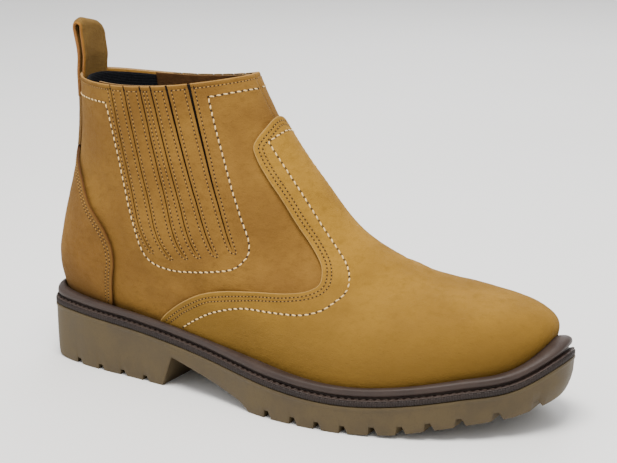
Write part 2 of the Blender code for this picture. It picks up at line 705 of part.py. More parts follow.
def build_welt():
    """Storm welt: a stitched flange outside and a rolled lip against the upper."""
    places = np.linspace(0, 1, 84, endpoint=False)
    inner = upper_surface(places, 0.0)[:, :2]
    run = upper_surface(places + 0.004, 0.0)[:, :2] - upper_surface(places - 0.004, 0.0)[:, :2]
    outward = np.stack([run[:, 1], -run[:, 0]], axis=1)
    outward /= np.linalg.norm(outward, axis=1, keepdims=True)
    outer = []
    for point, direction in zip(inner, outward):
        away = OUTLINE - point
        facing = away @ direction / np.linalg.norm(away, axis=1)
        outer.append(OUTLINE[np.argmax(facing)])
    outer = np.array(outer)
    width = np.linalg.norm(outer - inner, axis=1)
    sections = []
    ledge = []
    for point, direction, reach in zip(inner, outward, width):
        lip = reach - WELT_LEDGE
        share = float(toe_share(point[0]))
        rise = WELT_TOE_RISE * share
        root = WELT_ROOT + WELT_TOE_ROOT * share
        profile = ((root, FLANGE_FOOT), (reach - WELT_INSET, FLANGE_FOOT), (reach - WELT_INSET, FLANGE_TOP),
                   (lip, FLANGE_TOP), (lip + 0.1, WELT_SHOULDER + rise),
                   (lip * 0.72 + share, WELT_CREST + rise), (root, WELT_CREST + 0.2 + rise))
        spots = [(*(point + direction * out), up) for out, up in profile]
        sections.append([(x, y, float(sole_top(x)) + up) for x, y, up in spots])
        x, y = point + direction * (reach - WELT_THREAD_INSET)
        ledge.append((x, y, float(sole_top(x)) + FLANGE_TOP + WELT_THREAD_RADIUS + STACK_GAP))
    loft("welt", np.array(sections), BAND_RUBBER, closed=True)
    thread("welt_thread", np.array(ledge), THREAD, WELT_THREAD_RADIUS, closed=True)


def build_footbed():
    base = above_sole(FOOTBED_HEIGHT)
    side = above_sole(FOOTBED_HEIGHT + FOOTBED_THICKNESS - FOOTBED_BEVEL)
    top = above_sole(FOOTBED_HEIGHT + FOOTBED_THICKNESS)
    profile = ((FOOTBED_INSET + FOOTBED_BEVEL, top), (FOOTBED_INSET, side), (FOOTBED_INSET, base))
    bed = loft("footbed", plate_sections(FOOT_RING, profile, round_ends(33)), FOAM)
    front = FOOT_RING[:, 0].max() - FOOTBED_INSET
    hang_on_axis(bed, "footbed_axis", (front, 0, float(base(front))))


def build_inside():
    profile = (
        (INSOLE_INSET, above_sole(INSOLE_HEIGHT + INSOLE_THICKNESS)),
        (INSOLE_INSET, above_sole(INSOLE_HEIGHT)),
    )
    loft("insole_board", plate_sections(FOOT_RING, profile, round_ends(33)), BOARD)
    even = np.linspace(0, 1, 9)
    fillers = (
        ("forefoot_filler", FOREFOOT_FILLER_TOP, FOREFOOT_FILLER_SPAN),
        ("waist_filler", WAIST_FILLER_TOP, WAIST_FILLER_SPAN),
    )
    for name, top, span in fillers:
        profile = ((FILLER_INSET, above_sole(top)), (FILLER_INSET, above_sole(MARGIN_HEIGHT)))
        loft(name, plate_sections(FOOT_RING, profile, even, span), CORK)
    outer, inner = SHANK_EDGES
    corners = ((outer, SHANK_THICKNESS), (outer, 0), (inner, 0), (inner, SHANK_THICKNESS))
    shank = []
    for x in np.linspace(*SHANK_SPAN, 9):
        low_face = float(sole_top(x)) + SHANK_HEIGHT
        shank.append([(x, y, low_face + up) for y, up in corners])
    loft("steel_shank", np.array(shank), STEEL)


clear_scene()
PARTS = make_collection(NAME)
CUTTERS = make_collection(NAME + "_cutters")

NUBUCK = make_material("nubuck", (0.42, 0.22, 0.06), 0.85)
FACING_LEATHER = make_material("facing_leather", (0.16, 0.08, 0.03), 0.8)
ELASTIC = make_material("elastic", (0.05, 0.03, 0.02), 0.9)
LINING_CLOTH = make_material("lining_cloth", (0.008, 0.009, 0.013), 0.95)
STEEL = make_material("steel", (0.55, 0.56, 0.58), 0.35, 1.0)
EDGE_RUBBER = make_material("edge_rubber", (0.02, 0.02, 0.02), 0.7)
BOARD = make_material("fibre_board", (0.35, 0.25, 0.16), 0.9)
CORK = make_material("cork", (0.32, 0.18, 0.09), 0.9)
FOAM = make_material("footbed_foam", (0.03, 0.03, 0.035), 0.9)
SOLE_RUBBER = make_material("sole_rubber", (0.18, 0.13, 0.07), 0.6)
BAND_RUBBER = make_material("band_rubber", (0.1, 0.07, 0.055), 0.5)
THREAD = make_material("thread", (0.8, 0.7, 0.5), 0.7)

build_vamp()
build_vamp_lining()
build_quarters()
build_gores()
build_heel()
build_shaft_lining()
build_collar_trim()
build_toe_cap()
build_edge_strip()
build_threads()
build_pull_tab()
build_outsole()
build_midsole()
build_welt()
build_footbed()
build_inside()
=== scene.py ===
"""Looks of the steel toe work boot: leather panels, stitching, gore slits, pull strap, welt and sole.

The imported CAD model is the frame.  Tables are in millimetres measured from the back of the heel, as
in the part's source; world() turns them into metres.  A line on the upper is a list of (level, place):
level 0 is the welt, 1 the collar; place 0 is the heel, 0.5 the toe, and the outer side comes first.
"""

import math

import bmesh
import bpy
import numpy as np
from mathutils import Matrix, Vector

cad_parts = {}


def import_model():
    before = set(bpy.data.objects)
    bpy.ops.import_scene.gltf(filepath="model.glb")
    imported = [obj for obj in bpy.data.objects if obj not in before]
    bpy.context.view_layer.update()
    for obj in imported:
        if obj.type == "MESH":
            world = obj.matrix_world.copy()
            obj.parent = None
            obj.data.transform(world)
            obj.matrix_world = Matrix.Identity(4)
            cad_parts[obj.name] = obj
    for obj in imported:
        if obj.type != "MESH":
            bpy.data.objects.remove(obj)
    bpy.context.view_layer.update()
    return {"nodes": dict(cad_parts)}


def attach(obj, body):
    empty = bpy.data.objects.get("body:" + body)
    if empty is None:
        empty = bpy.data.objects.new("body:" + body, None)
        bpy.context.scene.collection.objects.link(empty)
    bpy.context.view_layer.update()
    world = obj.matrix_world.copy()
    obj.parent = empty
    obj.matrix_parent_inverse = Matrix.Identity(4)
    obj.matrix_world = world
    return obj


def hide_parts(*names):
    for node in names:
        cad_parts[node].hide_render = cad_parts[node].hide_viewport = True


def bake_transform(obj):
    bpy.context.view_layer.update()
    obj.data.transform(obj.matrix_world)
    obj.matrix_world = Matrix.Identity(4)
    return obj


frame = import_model()

MM = 0.001
SOLE_LENGTH = 300.0

# ---------------------------------------------------------------- the shape's tables, millimetres

HEEL_BREAST_FOOT = 88.0
TOE_START = 260.0
TOE_CHAMFER = 4.5
WELT_JOINT_HEIGHT = 10.0
WELT_TOE_RISE = 1.2
RING_FULLNESS = 0.92

# Underside of the outsole, as (x, height): heel, breast, shank, step, flat tread and toe spring.
TREAD_PROFILE = (
    (0, 3.6), (3, 2.1), (9, 0.7), (20, 0), (HEEL_BREAST_FOOT, 0), (95, 17), (143, 4.5), (150, 0), (205, 0),
    (230, 1.8), (265, 8.2), (283, 10.4), (SOLE_LENGTH, 15),
)
SOLE_STATIONS = (0, 80, 140, 210, 260, 286, 300)
SOLE_TOP_HEIGHTS = (30.9, 26.4, 19.3, 14.8, 21.0, 26.0, 35.0)
SOLE_OUTLINE = (
    (0, 0), (6.5, -21.5), (30, -31.5), (75, -38), (120, -45), (165, -57), (205, -58), (245, -48),
    (278, -29), (296.5, -9), (300, 6), (293.3, 25), (271, 40.5), (235, 48), (200, 47), (160, 41),
    (120, 36.5), (75, 37), (30, 33), (7, 22),
)
RING_LEVELS = (0.00, 0.08, 0.16, 0.26, 0.38, 0.52, 0.68, 0.84, 1.00)
RING_BACK = (
    (1.4, 40.0), (-0.1, 50.0), (0.3, 59.0), (2.6, 68.5), (5.5, 80.0), (9.8, 94.0), (14.4, 111.0),
    (18.0, 134.0), (18.5, 159.3),
)
RING_FRONT = (
    (289, 38.0), (291, 50.0), (283, 59.3), (260.5, 64.3), (225, 68.4), (190, 82.6), (164, 110.4),
    (142, 138.5), (127, 165.0),
)
RING_DIP = (
    (12, 12), (12, 12), (12, 12), (11, 11), (10, 10), (9, 9), (7, 7), (5, 6.5), (3.2, 7.5),
)
RING_SWING = (7, 7, 6, 5, 4, 2, 0, 0, 0)
WIDTH_STATIONS = (0, 0.45, 0.75, 1)
RING_OUTER_WIDTH = (
    (40, 43, 62, 58), (44, 44, 62, 59), (46, 44, 57, 56), (47, 42, 50, 48), (45, 42, 46, 42),
    (42, 42, 41, 36), (38, 39, 39, 32), (36, 38, 36, 29), (35, 38, 37, 31),
)
RING_INNER_WIDTH = (
    (40, 31, 45, 44), (43, 34, 48, 48), (45, 36, 48, 46), (45, 37, 45, 42), (43, 39, 42, 37),
    (41, 41, 39, 34), (38, 38, 38, 31), (36, 38, 36, 29), (35, 38, 37, 31),
)

# Panel edges, from the sole up to the middle of the panel's top, and the corners they turn at.
VAMP_EDGE = (
    (-0.06, 0.178), (0, 0.183), (0.065, 0.192), (0.153, 0.208), (0.233, 0.227), (0.3, 0.255),
    (0.345, 0.288), (0.362, 0.321), (0.378, 0.342), (0.404, 0.36), (0.442, 0.376), (0.48, 0.389),
    (0.537, 0.4), (0.602, 0.402), (0.66, 0.402), (0.72, 0.4), (0.77, 0.4), (0.803, 0.405),
    (0.824, 0.421), (0.845, 0.448), (0.86, 0.475), (0.866, 0.5),
)
VAMP_CORNER = (0.808, 0.408)
COUNTER_EDGE = (
    (-0.06, 0.132), (0, 0.136), (0.133, 0.143), (0.278, 0.152), (0.383, 0.159), (0.468, 0.157),
    (0.51, 0.149), (0.567, 0.13), (0.65, 0.106), (0.7, 0.078), (0.737, 0.045), (0.754, 0.02), (0.758, 0),
)
COUNTER_CORNER = (0.505, 0.15)
HIDDEN_EDGE = (
    (-0.13, 0.195), (0, 0.205), (0.1, 0.225), (0.2, 0.262), (0.28, 0.31), (0.33, 0.345),
    (0.38, 0.385), (0.44, 0.41), (0.52, 0.425), (0.8, 0.428), (0.86, 0.498), (1, 0.498),
)

# Slits of the gore: level and place of the foot, place at the collar, half the gap at the collar.
SLITS = (
    (0.45, 0.211, 0.205, 0.3), (0.44, 0.229, 0.234, 0.28), (0.467, 0.249, 0.265, 0.3),
    (0.487, 0.266, 0.284, 0.34), (0.506, 0.287, 0.311, 0.55), (0.526, 0.31, 0.348, 0.75),
)

# Heavy light stitching.
VAMP_STITCH = (
    (0.0, 0.201), (0.068, 0.213), (0.132, 0.228), (0.2, 0.254), (0.217, 0.278), (0.233, 0.301),
    (0.265, 0.32), (0.32, 0.346), (0.368, 0.372), (0.415, 0.394), (0.47, 0.416), (0.537, 0.432),
    (0.6, 0.437), (0.655, 0.438), (0.72, 0.4385), (0.77, 0.437), (0.807, 0.436),
)
VAMP_STITCH_TOP = ((0.807, 0.436), (0.818, 0.468), (0.823, 0.5))
GORE_STITCH_BACK = ((0.935, 0.05), (0.94, 0.12), (0.942, 0.188))
GORE_STITCH = (
    (0.942, 0.188), (0.9, 0.1915), (0.833, 0.195), (0.668, 0.199), (0.532, 0.203), (0.453, 0.2),
    (0.392, 0.199), (0.362, 0.204), (0.353, 0.218), (0.38, 0.239), (0.42, 0.269), (0.453, 0.294),
    (0.488, 0.312), (0.522, 0.326), (0.562, 0.335), (0.623, 0.34), (0.693, 0.346), (0.768, 0.353),
    (0.858, 0.361), (0.955, 0.371),
)
GORE_STITCH_FRONT = ((0.955, 0.371), (0.957, 0.43), (0.955, 0.49))

HEEL_GROOVES = (27, 44, 60, 76)
FOREFOOT_GROOVES = (162, 178, 192, 206, 221, 234.5, 247.5, 261, 276.5, 292)
HEEL_GROOVE_DEPTH = 3.0
FOREFOOT_GROOVE_DEPTH = 4.0
CHANNEL_HALF_WIDTH = 4.0
CHANNEL_SPANS = ((22, 76), (160, 262))

# ---------------------------------------------------------------- depths and rows of the panels

# Depths inside the outer face, wall thicknesses, and distances of stitch rows from a cut edge.

VAMP_WALL = 1.6
QUARTER_DEPTH = 2.1
QUARTER_WALL = 1.5
ELASTIC_DEPTH = 3.6
ELASTIC_WALL = 0.7
ELASTIC_RISE = 1.1
FACING_DEPTH = 5.6
FACING_WALL = 0.9
LINING_WALL = 0.7
EDGE_ROLL = 0.45
EDGE_ROLL_WIDTH = 0.9
SEAM_GROOVE = 0.24
SEAM_GROOVE_WIDTH = 0.42
SEAM_ROWS = (2.8, 5.1)
SLIT_ROW = 2.0
RIM_ROW = 2.3

# ---------------------------------------------------------------- curves and surfaces


def hermite(fraction, span, start, end, start_slope, end_slope):
    """Cubic between two values with given slopes."""
    rest = 1 - fraction
    value = start * (1 + 2 * fraction) * rest ** 2 + start_slope * span * fraction * rest ** 2
    return value + end * fraction ** 2 * (3 - 2 * fraction) - end_slope * span * fraction ** 2 * rest


def knot_slopes(knots, values):
    """Catmull-Rom slopes along the last axis of values."""
    step = np.diff(knots)
    slope = np.diff(values, axis=-1) / step
    weight = step[1:] / (step[1:] + step[:-1])
    inner = slope[..., :-1] * weight + slope[..., 1:] * (1 - weight)
    first = 1.5 * slope[..., :1] - 0.5 * inner[..., :1]
    last = 1.5 * slope[..., -1:] - 0.5 * inner[..., -1:]
    return np.concatenate([first, inner, last], axis=-1)


def smooth(knots, values, at):
    """Catmull-Rom interpolation of values (one row for each knot)."""
    knots = np.asarray(knots, float)
    values = np.asarray(values, float).reshape(len(knots), -1)
    at = np.asarray(at, float)
    slopes = knot_slopes(knots, values.T).T
    piece = np.clip(np.searchsorted(knots, at, side="right") - 1, 0, len(knots) - 2)
    span = (knots[piece + 1] - knots[piece])[..., None]
    fraction = (at - knots[piece])[..., None] / span
    result = hermite(fraction, span, values[piece], values[piece + 1], slopes[piece], slopes[piece + 1])
    return result[..., 0] if result.shape[-1] == 1 else result


def at_width_station(table, along):
    """Half width at a fraction of the ring's length, from one row of widths for each place."""
    knots = np.asarray(WIDTH_STATIONS, float)
    slopes = knot_slopes(knots, table)
    piece = np.clip(np.searchsorted(knots, along, side="right") - 1, 0, len(knots) - 2)
    span = knots[piece + 1] - knots[piece]

    def pick(values, index):
        return np.take_along_axis(values, index[..., None], axis=-1)[..., 0]

    ends = (pick(table, piece), pick(table, piece + 1), pick(slopes, piece), pick(slopes, piece + 1))
    return hermite((along - knots[piece]) / span, span, *ends)


def step_up(value, low, high):
    """0 below low, 1 above high, smooth between."""
    share = np.clip((np.asarray(value, float) - low) / (high - low), 0, 1)
    return share * share * (3 - 2 * share)


def unit(vectors):
    """The vectors at length one."""
    return vectors / np.linalg.norm(vectors, axis=-1, keepdims=True)


def read(at, stations, table):
    """Rows of a table, interpolated between its stations."""
    return np.stack([np.interp(at, stations, column) for column in table.T], axis=-1)


def sole_top(x):
    return smooth(SOLE_STATIONS, SOLE_TOP_HEIGHTS, x)


def toe_share(x):
    """0 behind the toe, rising to 1 at its tip."""
    return np.clip((np.asarray(x, float) - TOE_START) / (SOLE_LENGTH - TOE_START), 0, 1) ** 2


def tread_bottom(x):
    """Height of the outsole's underside, without the grooves."""
    return np.interp(x, *np.array(TREAD_PROFILE).T)


def closed_outline(points, count):
    """Closed smooth curve through the points, as count points."""
    loop = np.array(points, float)
    padded = np.vstack([loop[-2:], loop, loop[:3]])
    spacing = np.linalg.norm(np.diff(padded, axis=0), axis=1) ** 0.5
    knots = np.concatenate([[0], np.cumsum(spacing)])
    return smooth(knots, padded, np.linspace(knots[2], knots[2 + len(loop)], count, endpoint=False))


def ring_surface(place, level):
    """Outer face of the upper above the welt joint."""
    outer_side = place <= 0.5
    half = np.where(outer_side, 2 * place, 2 - 2 * place)
    along = (1 - np.cos(math.pi * half)) / 2
    back = smooth(RING_LEVELS, RING_BACK, level)
    front = smooth(RING_LEVELS, RING_FRONT, level)
    dip = smooth(RING_LEVELS, RING_DIP, level)
    swing = smooth(RING_LEVELS, RING_SWING, level)
    outer = at_width_station(smooth(RING_LEVELS, RING_OUTER_WIDTH, level), along)
    inner = at_width_station(smooth(RING_LEVELS, RING_INNER_WIDTH, level), along)
    x = back[..., 0] + (front[..., 0] - back[..., 0]) * along
    z = back[..., 1] + (front[..., 1] - back[..., 1]) * along
    hang = np.where(outer_side, dip[..., 0], dip[..., 1]) * 4 * along * (1 - along)
    straight_foot = RING_BACK[0][1] + (RING_FRONT[0][1] - RING_BACK[0][1]) * along
    follow = sole_top(x) + WELT_JOINT_HEIGHT + z - straight_foot
    near_sole = (1 - np.clip(level / 0.5, 0, 1)) ** 2
    height = (z - hang) * (1 - near_sole) + follow * near_sole
    bulge = np.clip(np.sin(math.pi * half), 1e-9, None) ** RING_FULLNESS
    y = swing * along ** 2 + np.where(outer_side, -outer, inner) * bulge
    return np.stack([x, y, height], axis=-1)


def upper_surface(place, level):
    """Outer face of the upper, carried straight on below level 0, inside the welt."""
    place, level = np.broadcast_arrays(np.asarray(place, float) % 1, np.asarray(level, float))
    points = ring_surface(place, np.clip(level, 0, 1))
    if level.min() >= 0:
        return points
    step = 0.02
    above = ring_surface(place, np.full(level.shape, step))
    return points + (above - points) * (np.minimum(level, 0) / step)[..., None] * (level < 0)[..., None]


def surface_frame(level, place):
    """Change of the surface with level and with place, and its outward normal."""
    level, place = np.broadcast_arrays(np.asarray(level, float), np.asarray(place, float))
    step = 0.003
    above = np.minimum(level + step, 1)
    up = upper_surface(place, above) - upper_surface(place, level - step)
    up /= (above - level + step)[..., None]
    along = (upper_surface(place + step, level) - upper_surface(place - step, level)) / (2 * step)
    return up, along, unit(np.cross(along, up))


def skin(level, place, depth=0.0):
    """Points that lie depth inside the upper's outer face, and the outward normals there."""
    level, place = np.broadcast_arrays(np.asarray(level, float), np.asarray(place, float))
    normal = surface_frame(level, place)[2]
    depth = np.broadcast_to(depth, level.shape)[..., None]
    return upper_surface(place, level) - normal * depth, normal


def world(points):
    """Millimetres from the heel's back to metres in the boot's frame."""
    return (np.asarray(points, float) - (SOLE_LENGTH / 2, MIDDLE_Y, 0)) * MM


OUTLINE = closed_outline(SOLE_OUTLINE, 1440)
MIDDLE_Y = (OUTLINE[::2, 1].min() + OUTLINE[::2, 1].max()) / 2
FOOT_RING = upper_surface(np.linspace(0, 1, 720, endpoint=False), 0.0)[:, :2]

# ---------------------------------------------------------------- lines on the upper


def travelled(points):
    """Distance travelled at each point of a polyline."""
    return np.concatenate([[0], np.cumsum(np.linalg.norm(np.diff(points, axis=0), axis=1))])


def line_of(levels, places):
    """A line from its levels and its places."""
    return np.stack(np.broadcast_arrays(levels, places), axis=-1)


def line_distance(line):
    """Distance travelled over the surface at each point of a line."""
    return travelled(upper_surface(line[:, 1], line[:, 0]))


def climb(levels, place):
    """Distance climbed over the surface at each level, up from the first one."""
    return line_distance(line_of(levels, place))


def even_line(line, spacing):
    """The line with points at even distances over the surface."""
    distance = line_distance(line)
    count = max(2, int(round(distance[-1] / spacing)) + 1)
    return read(np.linspace(0, distance[-1], count), distance, line)


def smooth_line(knots, spacing=0.5):
    """Smooth line through (level, place) knots."""
    knots = np.asarray(knots, float)
    chord = np.linalg.norm(np.diff(upper_surface(knots[:, 1], knots[:, 0]), axis=0), axis=1) ** 0.5
    distance = np.concatenate([[0], np.cumsum(chord)])
    fine = smooth(distance, knots, np.linspace(0, distance[-1], 40 * len(knots)))
    return even_line(fine, spacing)


def mirror_line(line, middle=0.5):
    """The line on the other side of the boot."""
    return line_of(line[:, 0], 2 * middle - line[:, 1])


def whole_line(half, middle=0.5):
    """A line that ends at the boot's middle, carried on down the other side."""
    return np.vstack([half, mirror_line(half, middle)[::-1][1:]])


def gentle_run(values, reach=3):
    """Change along a line, averaged over a few points so that noise doesn't grow."""
    padded = np.concatenate([
        2 * values[0] - values[reach:0:-1],
        values,
        2 * values[-1] - values[-2:-2 - reach:-1],
    ])
    return padded[2 * reach:] - padded[:-2 * reach]


SIDE_SPACING = 0.25
SIDE_AVERAGE = 10.0


def sideways(line):
    """Change of (level, place) for each millimetre to the right of a line, seen from outside."""
    fine = even_line(line, SIDE_SPACING)
    up, along, normal = surface_frame(fine[:, 0], fine[:, 1])
    run = gentle_run(fine[:, 0])[:, None] * up + gentle_run(fine[:, 1])[:, None] * along
    side = unit(np.cross(run, normal))
    reach = min(int(SIDE_AVERAGE / SIDE_SPACING / 2), len(fine) - 1)
    padded = np.pad(side, ((reach, reach), (0, 0)), mode="edge")
    total = np.vstack([np.zeros(3), np.cumsum(padded, axis=0)])
    side = unit(total[2 * reach + 1:] - total[:-2 * reach - 1])
    size_up, size_along, shared, reach_up, reach_along = (
        (first * second).sum(1)
        for first, second in ((up, up), (along, along), (up, along), (side, up), (side, along))
    )
    scale = 1 / (size_up * size_along - shared ** 2)
    steps = np.stack([(size_along * reach_up - shared * reach_along) * scale,
                      (size_up * reach_along - shared * reach_up) * scale], axis=1)
    distance = line_distance(fine)
    at = line_distance(line)
    return read(at * distance[-1] / at[-1], distance, steps)


def offset_line(line, distance):
    """The line moved over the surface, to the right of its direction seen from outside."""
    return line + sideways(line) * distance


def at_level(line, level):
    """Place where a rising line crosses each level."""
    levels, places = np.asarray(line, float).T
    return np.interp(level, levels, places)


RIPPLE_WAVES = 9


def ripple(points, size, seed):
    """Smooth uneven field between about -1 and 1, with features of the given size."""
    random = np.random.default_rng(seed)
    field = np.zeros(points.shape[:-1])
    for _ in range(RIPPLE_WAVES):
        direction = unit(random.normal(size=3))
        stretch = random.uniform(0.6, 1.6)
        field += np.sin(points @ direction * (2 * math.pi / size / stretch) + random.uniform(0, 2 * math.pi))
    return field / math.sqrt(RIPPLE_WAVES)


# ---------------------------------------------------------------- meshes

WELD = 0.03
FAR_FROM_EDGE = 20.0


def patch_faces(rows, columns, start, flip):
    """Quads of a grid whose points are numbered from start."""
    index = np.arange(rows * columns).reshape(rows, columns) + start
    quads = np.stack([index[:-1, :-1], index[:-1, 1:], index[1:, 1:], index[1:, :-1]], axis=-1)
    return (quads[..., ::-1] if flip else quads).reshape(-1, 4)


def link(name, points, faces, materials, edge=None):
    """Smooth-shaded mesh object from points in millimetres."""
    mesh = bpy.data.meshes.new(name)
    mesh.from_pydata(world(points).tolist(), [], faces)
    if edge is not None:
        mesh.attributes.new("edge", "FLOAT", "POINT").data.foreach_set("value", edge.astype(np.float32))
    for material in materials:
        mesh.materials.append(material)
    mesh.shade_smooth()
    piece = bpy.data.objects.new(name, mesh)
    bpy.context.scene.collection.objects.link(piece)
    return piece


def welded(name, patches, materials):
    """One mesh from several grids, with points that coincide merged."""
    points = np.concatenate([patch[0].reshape(-1, 3) for patch in patches])
    edge = np.concatenate([patch[1].reshape(-1) for patch in patches])
    faces = []
    start = 0
    for grid, _, flip in patches:
        rows, columns = grid.shape[:2]
        faces.append(patch_faces(rows, columns, start, flip))
        start += rows * columns
    piece = link(name, points, np.concatenate(faces).tolist(), materials, edge)
    work = bmesh.new()
    work.from_mesh(piece.data)
    bmesh.ops.remove_doubles(work, verts=work.verts, dist=WELD * MM)
    bmesh.ops.dissolve_degenerate(work, edges=work.edges, dist=WELD * MM / 4)
    work.to_mesh(piece.data)
    work.free()
    return piece


def uneven(level, place, depth, relief):
    """Points of a panel's uneven outer face, and the outward normals there."""
    points, normal = skin(level, place, depth)
    return points + normal * relief(points, level, place)[..., None], normal


def level_relief(points, level, place):
    """No unevenness."""
    return np.zeros(np.shape(level))


def patch(level, place, depth, edge=None, relief=level_relief):
    """Grid of the upper as (points, distance to the cut edge, flip)."""
    points, normal = uneven(level, place, depth, relief)
    facing = np.cross(points[:-1, 1:] - points[:-1, :-1], points[1:, :-1] - points[:-1, :-1])
    flip = float((facing * normal[:-1, :-1]).sum()) < 0
    if edge is None:
        edge = np.full(points.shape[:2], FAR_FROM_EDGE)
    return points, np.broadcast_to(edge, points.shape[:2]), flip


def thicken(piece, wall, rim_slot=1):
    """Gives a sheet its thickness inwards; the cut rim takes the piece's second material."""
    solidify = piece.modifiers.new("Thickness", "SOLIDIFY")
    solidify.thickness = wall * MM
    solidify.offset = -1
    solidify.use_quality_normals = True
    solidify.material_offset_rim = rim_slot
    return piece


def plain(grid, flip=False):
    """A grid of points as a patch without a cut edge."""
    return grid, np.full(grid.shape[:2], FAR_FROM_EDGE), flip


def finish_piece(piece, slot, *nodes, body="boot"):
    """Attaches a piece to the body it rides and hides the CAD nodes it stands for; slot is not used."""
    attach(piece, body)
    if nodes:
        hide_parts(*nodes)


def rolled(distance):
    """How far a cut edge sinks as it rounds off towards its rim."""
    inside = np.clip(1 - np.asarray(distance, float) / EDGE_ROLL_WIDTH, 0, 1)
    return EDGE_ROLL * (1 - np.sqrt(1 - inside ** 2 * 0.96))


def seam_groove(distance, rows):
    """Depth of the furrows that stitch rows pull into the leather."""
    distance = np.asarray(distance, float)
    return sum(SEAM_GROOVE * np.exp(-((distance - row) / SEAM_GROOVE_WIDTH) ** 2) for row in rows)


def coons(left, right, bottom, top):
    """Grid of (level, place) inside four boundary lines."""
    v = np.linspace(0, 1, len(left))[:, None, None]
    u = np.linspace(0, 1, len(bottom))[None, :, None]
    across = (1 - u) * left[:, None] + u * right[:, None]
    upward = (1 - v) * bottom[None] + v * top[None]
    corners = (1 - u) * (1 - v) * left[0] + u * (1 - v) * right[0]
    corners = corners + (1 - u) * v * left[-1] + u * v * right[-1]
    return across + upward - corners


BORDER = (0, 0.1, 0.3, 0.6, 1.0, 1.6, 2.15, 2.45, 2.65, 2.8, 2.95, 3.15, 3.5, 4.0, 4.5, 4.8, 4.95, 5.1,
          5.25, 5.5, 6.0)


def bordered_panel(name, knots, corner, middle, side, spacings, materials, relief):
    """Panel whose cut edge runs up one side of the boot, over the middle and down the other."""
    half = smooth_line(knots, 0.2)
    split = int(np.argmin(np.linalg.norm((half - corner) * (1, 3), axis=1)))
    rising = even_line(half[:split + 1], spacings[0])
    crossing = even_line(half[split:], spacings[1])
    edge = whole_line(np.vstack([rising, crossing[1:]]), middle)
    inward = sideways(edge) * side
    border = np.array([edge + inward * distance for distance in BORDER])
    distance = np.repeat(np.array(BORDER)[:, None], len(edge), axis=1)
    depth = rolled(distance) + seam_groove(distance, SEAM_ROWS)
    inner = border[-1]
    corner_at = len(rising) - 1
    top = inner[corner_at:len(inner) - corner_at]
    left = inner[:corner_at + 1]
    right = inner[::-1][:corner_at + 1]
    foot = line_of(left[0, 0], np.linspace(left[0, 1], right[0, 1], 200))
    steps = line_distance(foot)
    bottom = read(np.linspace(0, steps[-1], len(top)), steps, foot)
    inside = coons(left, right, bottom, top)
    patches = (
        patch(border[..., 0], border[..., 1], depth, distance, relief),
        patch(inside[..., 0], inside[..., 1], np.zeros(inside.shape[:2]), None, relief),
    )
    return thicken(welded(name, patches, materials), VAMP_WALL), edge


# ---------------------------------------------------------------- stitches

STITCH_STATIONS = np.array((0.0, 0.08, 0.25, 0.5, 0.75, 0.92, 1.0))
STITCH_THICKNESS = np.array((0.35, 0.8, 1, 1.05, 1, 0.8, 0.35))
STITCH_SIDES = 6
STITCH_TURN = np.arange(STITCH_SIDES) * 2 * math.pi / STITCH_SIDES
STITCH_LINE_SPACING = 0.25
STITCH_LIFT = 0.25
HOLE_RISE = 0.3


def six_sided(first, second):
    """Directions round a circle that starts at first and turns towards second."""
    first = first[..., None, :] * np.cos(STITCH_TURN)[:, None]
    return first + second[..., None, :] * np.sin(STITCH_TURN)[:, None]


class Stitches:
    """Many short threads, and the painted shade of their needle holes, gathered into two meshes."""

    def __init__(self):
        self.threads = []
        self.holes = []

    def sew(self, line, face, pitch, radius, length, hole, skew=0.0):
        """One row: line is (level, place) points, face a function that gives the face it lies on."""
        line = even_line(np.asarray(line, float), STITCH_LINE_SPACING)
        distance = line_distance(line)
        count = max(1, int(distance[-1] / pitch))
        step = distance[-1] / count
        starts = np.arange(count) * step + step * (1 - length) / 2
        spots = read(starts[:, None] + STITCH_STATIONS[None] * step * length, distance, line)
        points, normal = face(spots[..., 0], spots[..., 1])
        side = np.cross(unit(np.gradient(points, axis=1)), normal)
        self.add(points, normal, side, radius, step * length * skew, STITCH_LIFT)
        ends = read(np.arange(count + 1) * step, distance, line)
        self.pierce(*face(ends[:, 0], ends[:, 1]), hole)

    def add(self, points, normal, side, radius, slant, lift):
        """Threads along rows of points, arched over the surface and sunk at both ends."""
        arch = 1 - (2 * STITCH_STATIONS - 1) ** 4
        thick = radius * STITCH_THICKNESS
        centre = points + normal * ((arch * (1 + lift) - 1) * radius)[:, None]
        centre = centre + side * ((STITCH_STATIONS - 0.5) * slant)[:, None]
        ring = six_sided(side, normal)
        self.threads.append(centre[:, :, None] + ring * thick[:, None, None])

    def pierce(self, points, normal, radius):
        """Painted shade of the needle holes: dark shallow six-sided dimples just above the surface."""
        across = unit(np.cross(normal, (0.0, 0.0, 1.0)))
        other = np.cross(normal, across)
        rim = six_sided(across, other)
        rim = points[:, None] + rim * radius + normal[:, None] * radius * HOLE_RISE
        centre = points + normal * radius * HOLE_RISE / 2
        self.holes.append(np.concatenate([rim, centre[:, None]], axis=1))

    def build(self, name, material, slot, *nodes):
        """The threads as one object, with rounded ends closed."""
        points = np.concatenate(self.threads)
        count, stations, sides = points.shape[:3]
        faces = []
        base = np.arange(sides)
        following = (base + 1) % sides
        ring_quads = np.concatenate([
            np.stack([base + s * sides, following + s * sides, following + (s + 1) * sides,
                      base + (s + 1) * sides], axis=1)
            for s in range(stations - 1)
        ])
        size = stations * sides
        caps = (tuple(range(sides))[::-1], tuple(range(size - sides, size)))
        for number in range(count):
            start = number * size
            faces += (ring_quads + start).tolist()
            faces += [[corner + start for corner in cap] for cap in caps]
        piece = link(name, points.reshape(-1, 3), faces, [material])
        finish_piece(piece, slot, *nodes)

    def build_holes(self, name, material, slot):
        """The painted hole shades as one object."""
        points = np.concatenate(self.holes)
        count, size = points.shape[:2]
        middle = size - 1
        fans = [(corner, (corner + 1) % middle, middle) for corner in range(middle)]
        faces = [[corner + number * size for corner in fan] for number in range(count) for fan in fans]
        piece = link(name, points.reshape(-1, 3), faces, [material])
        finish_piece(piece, slot)


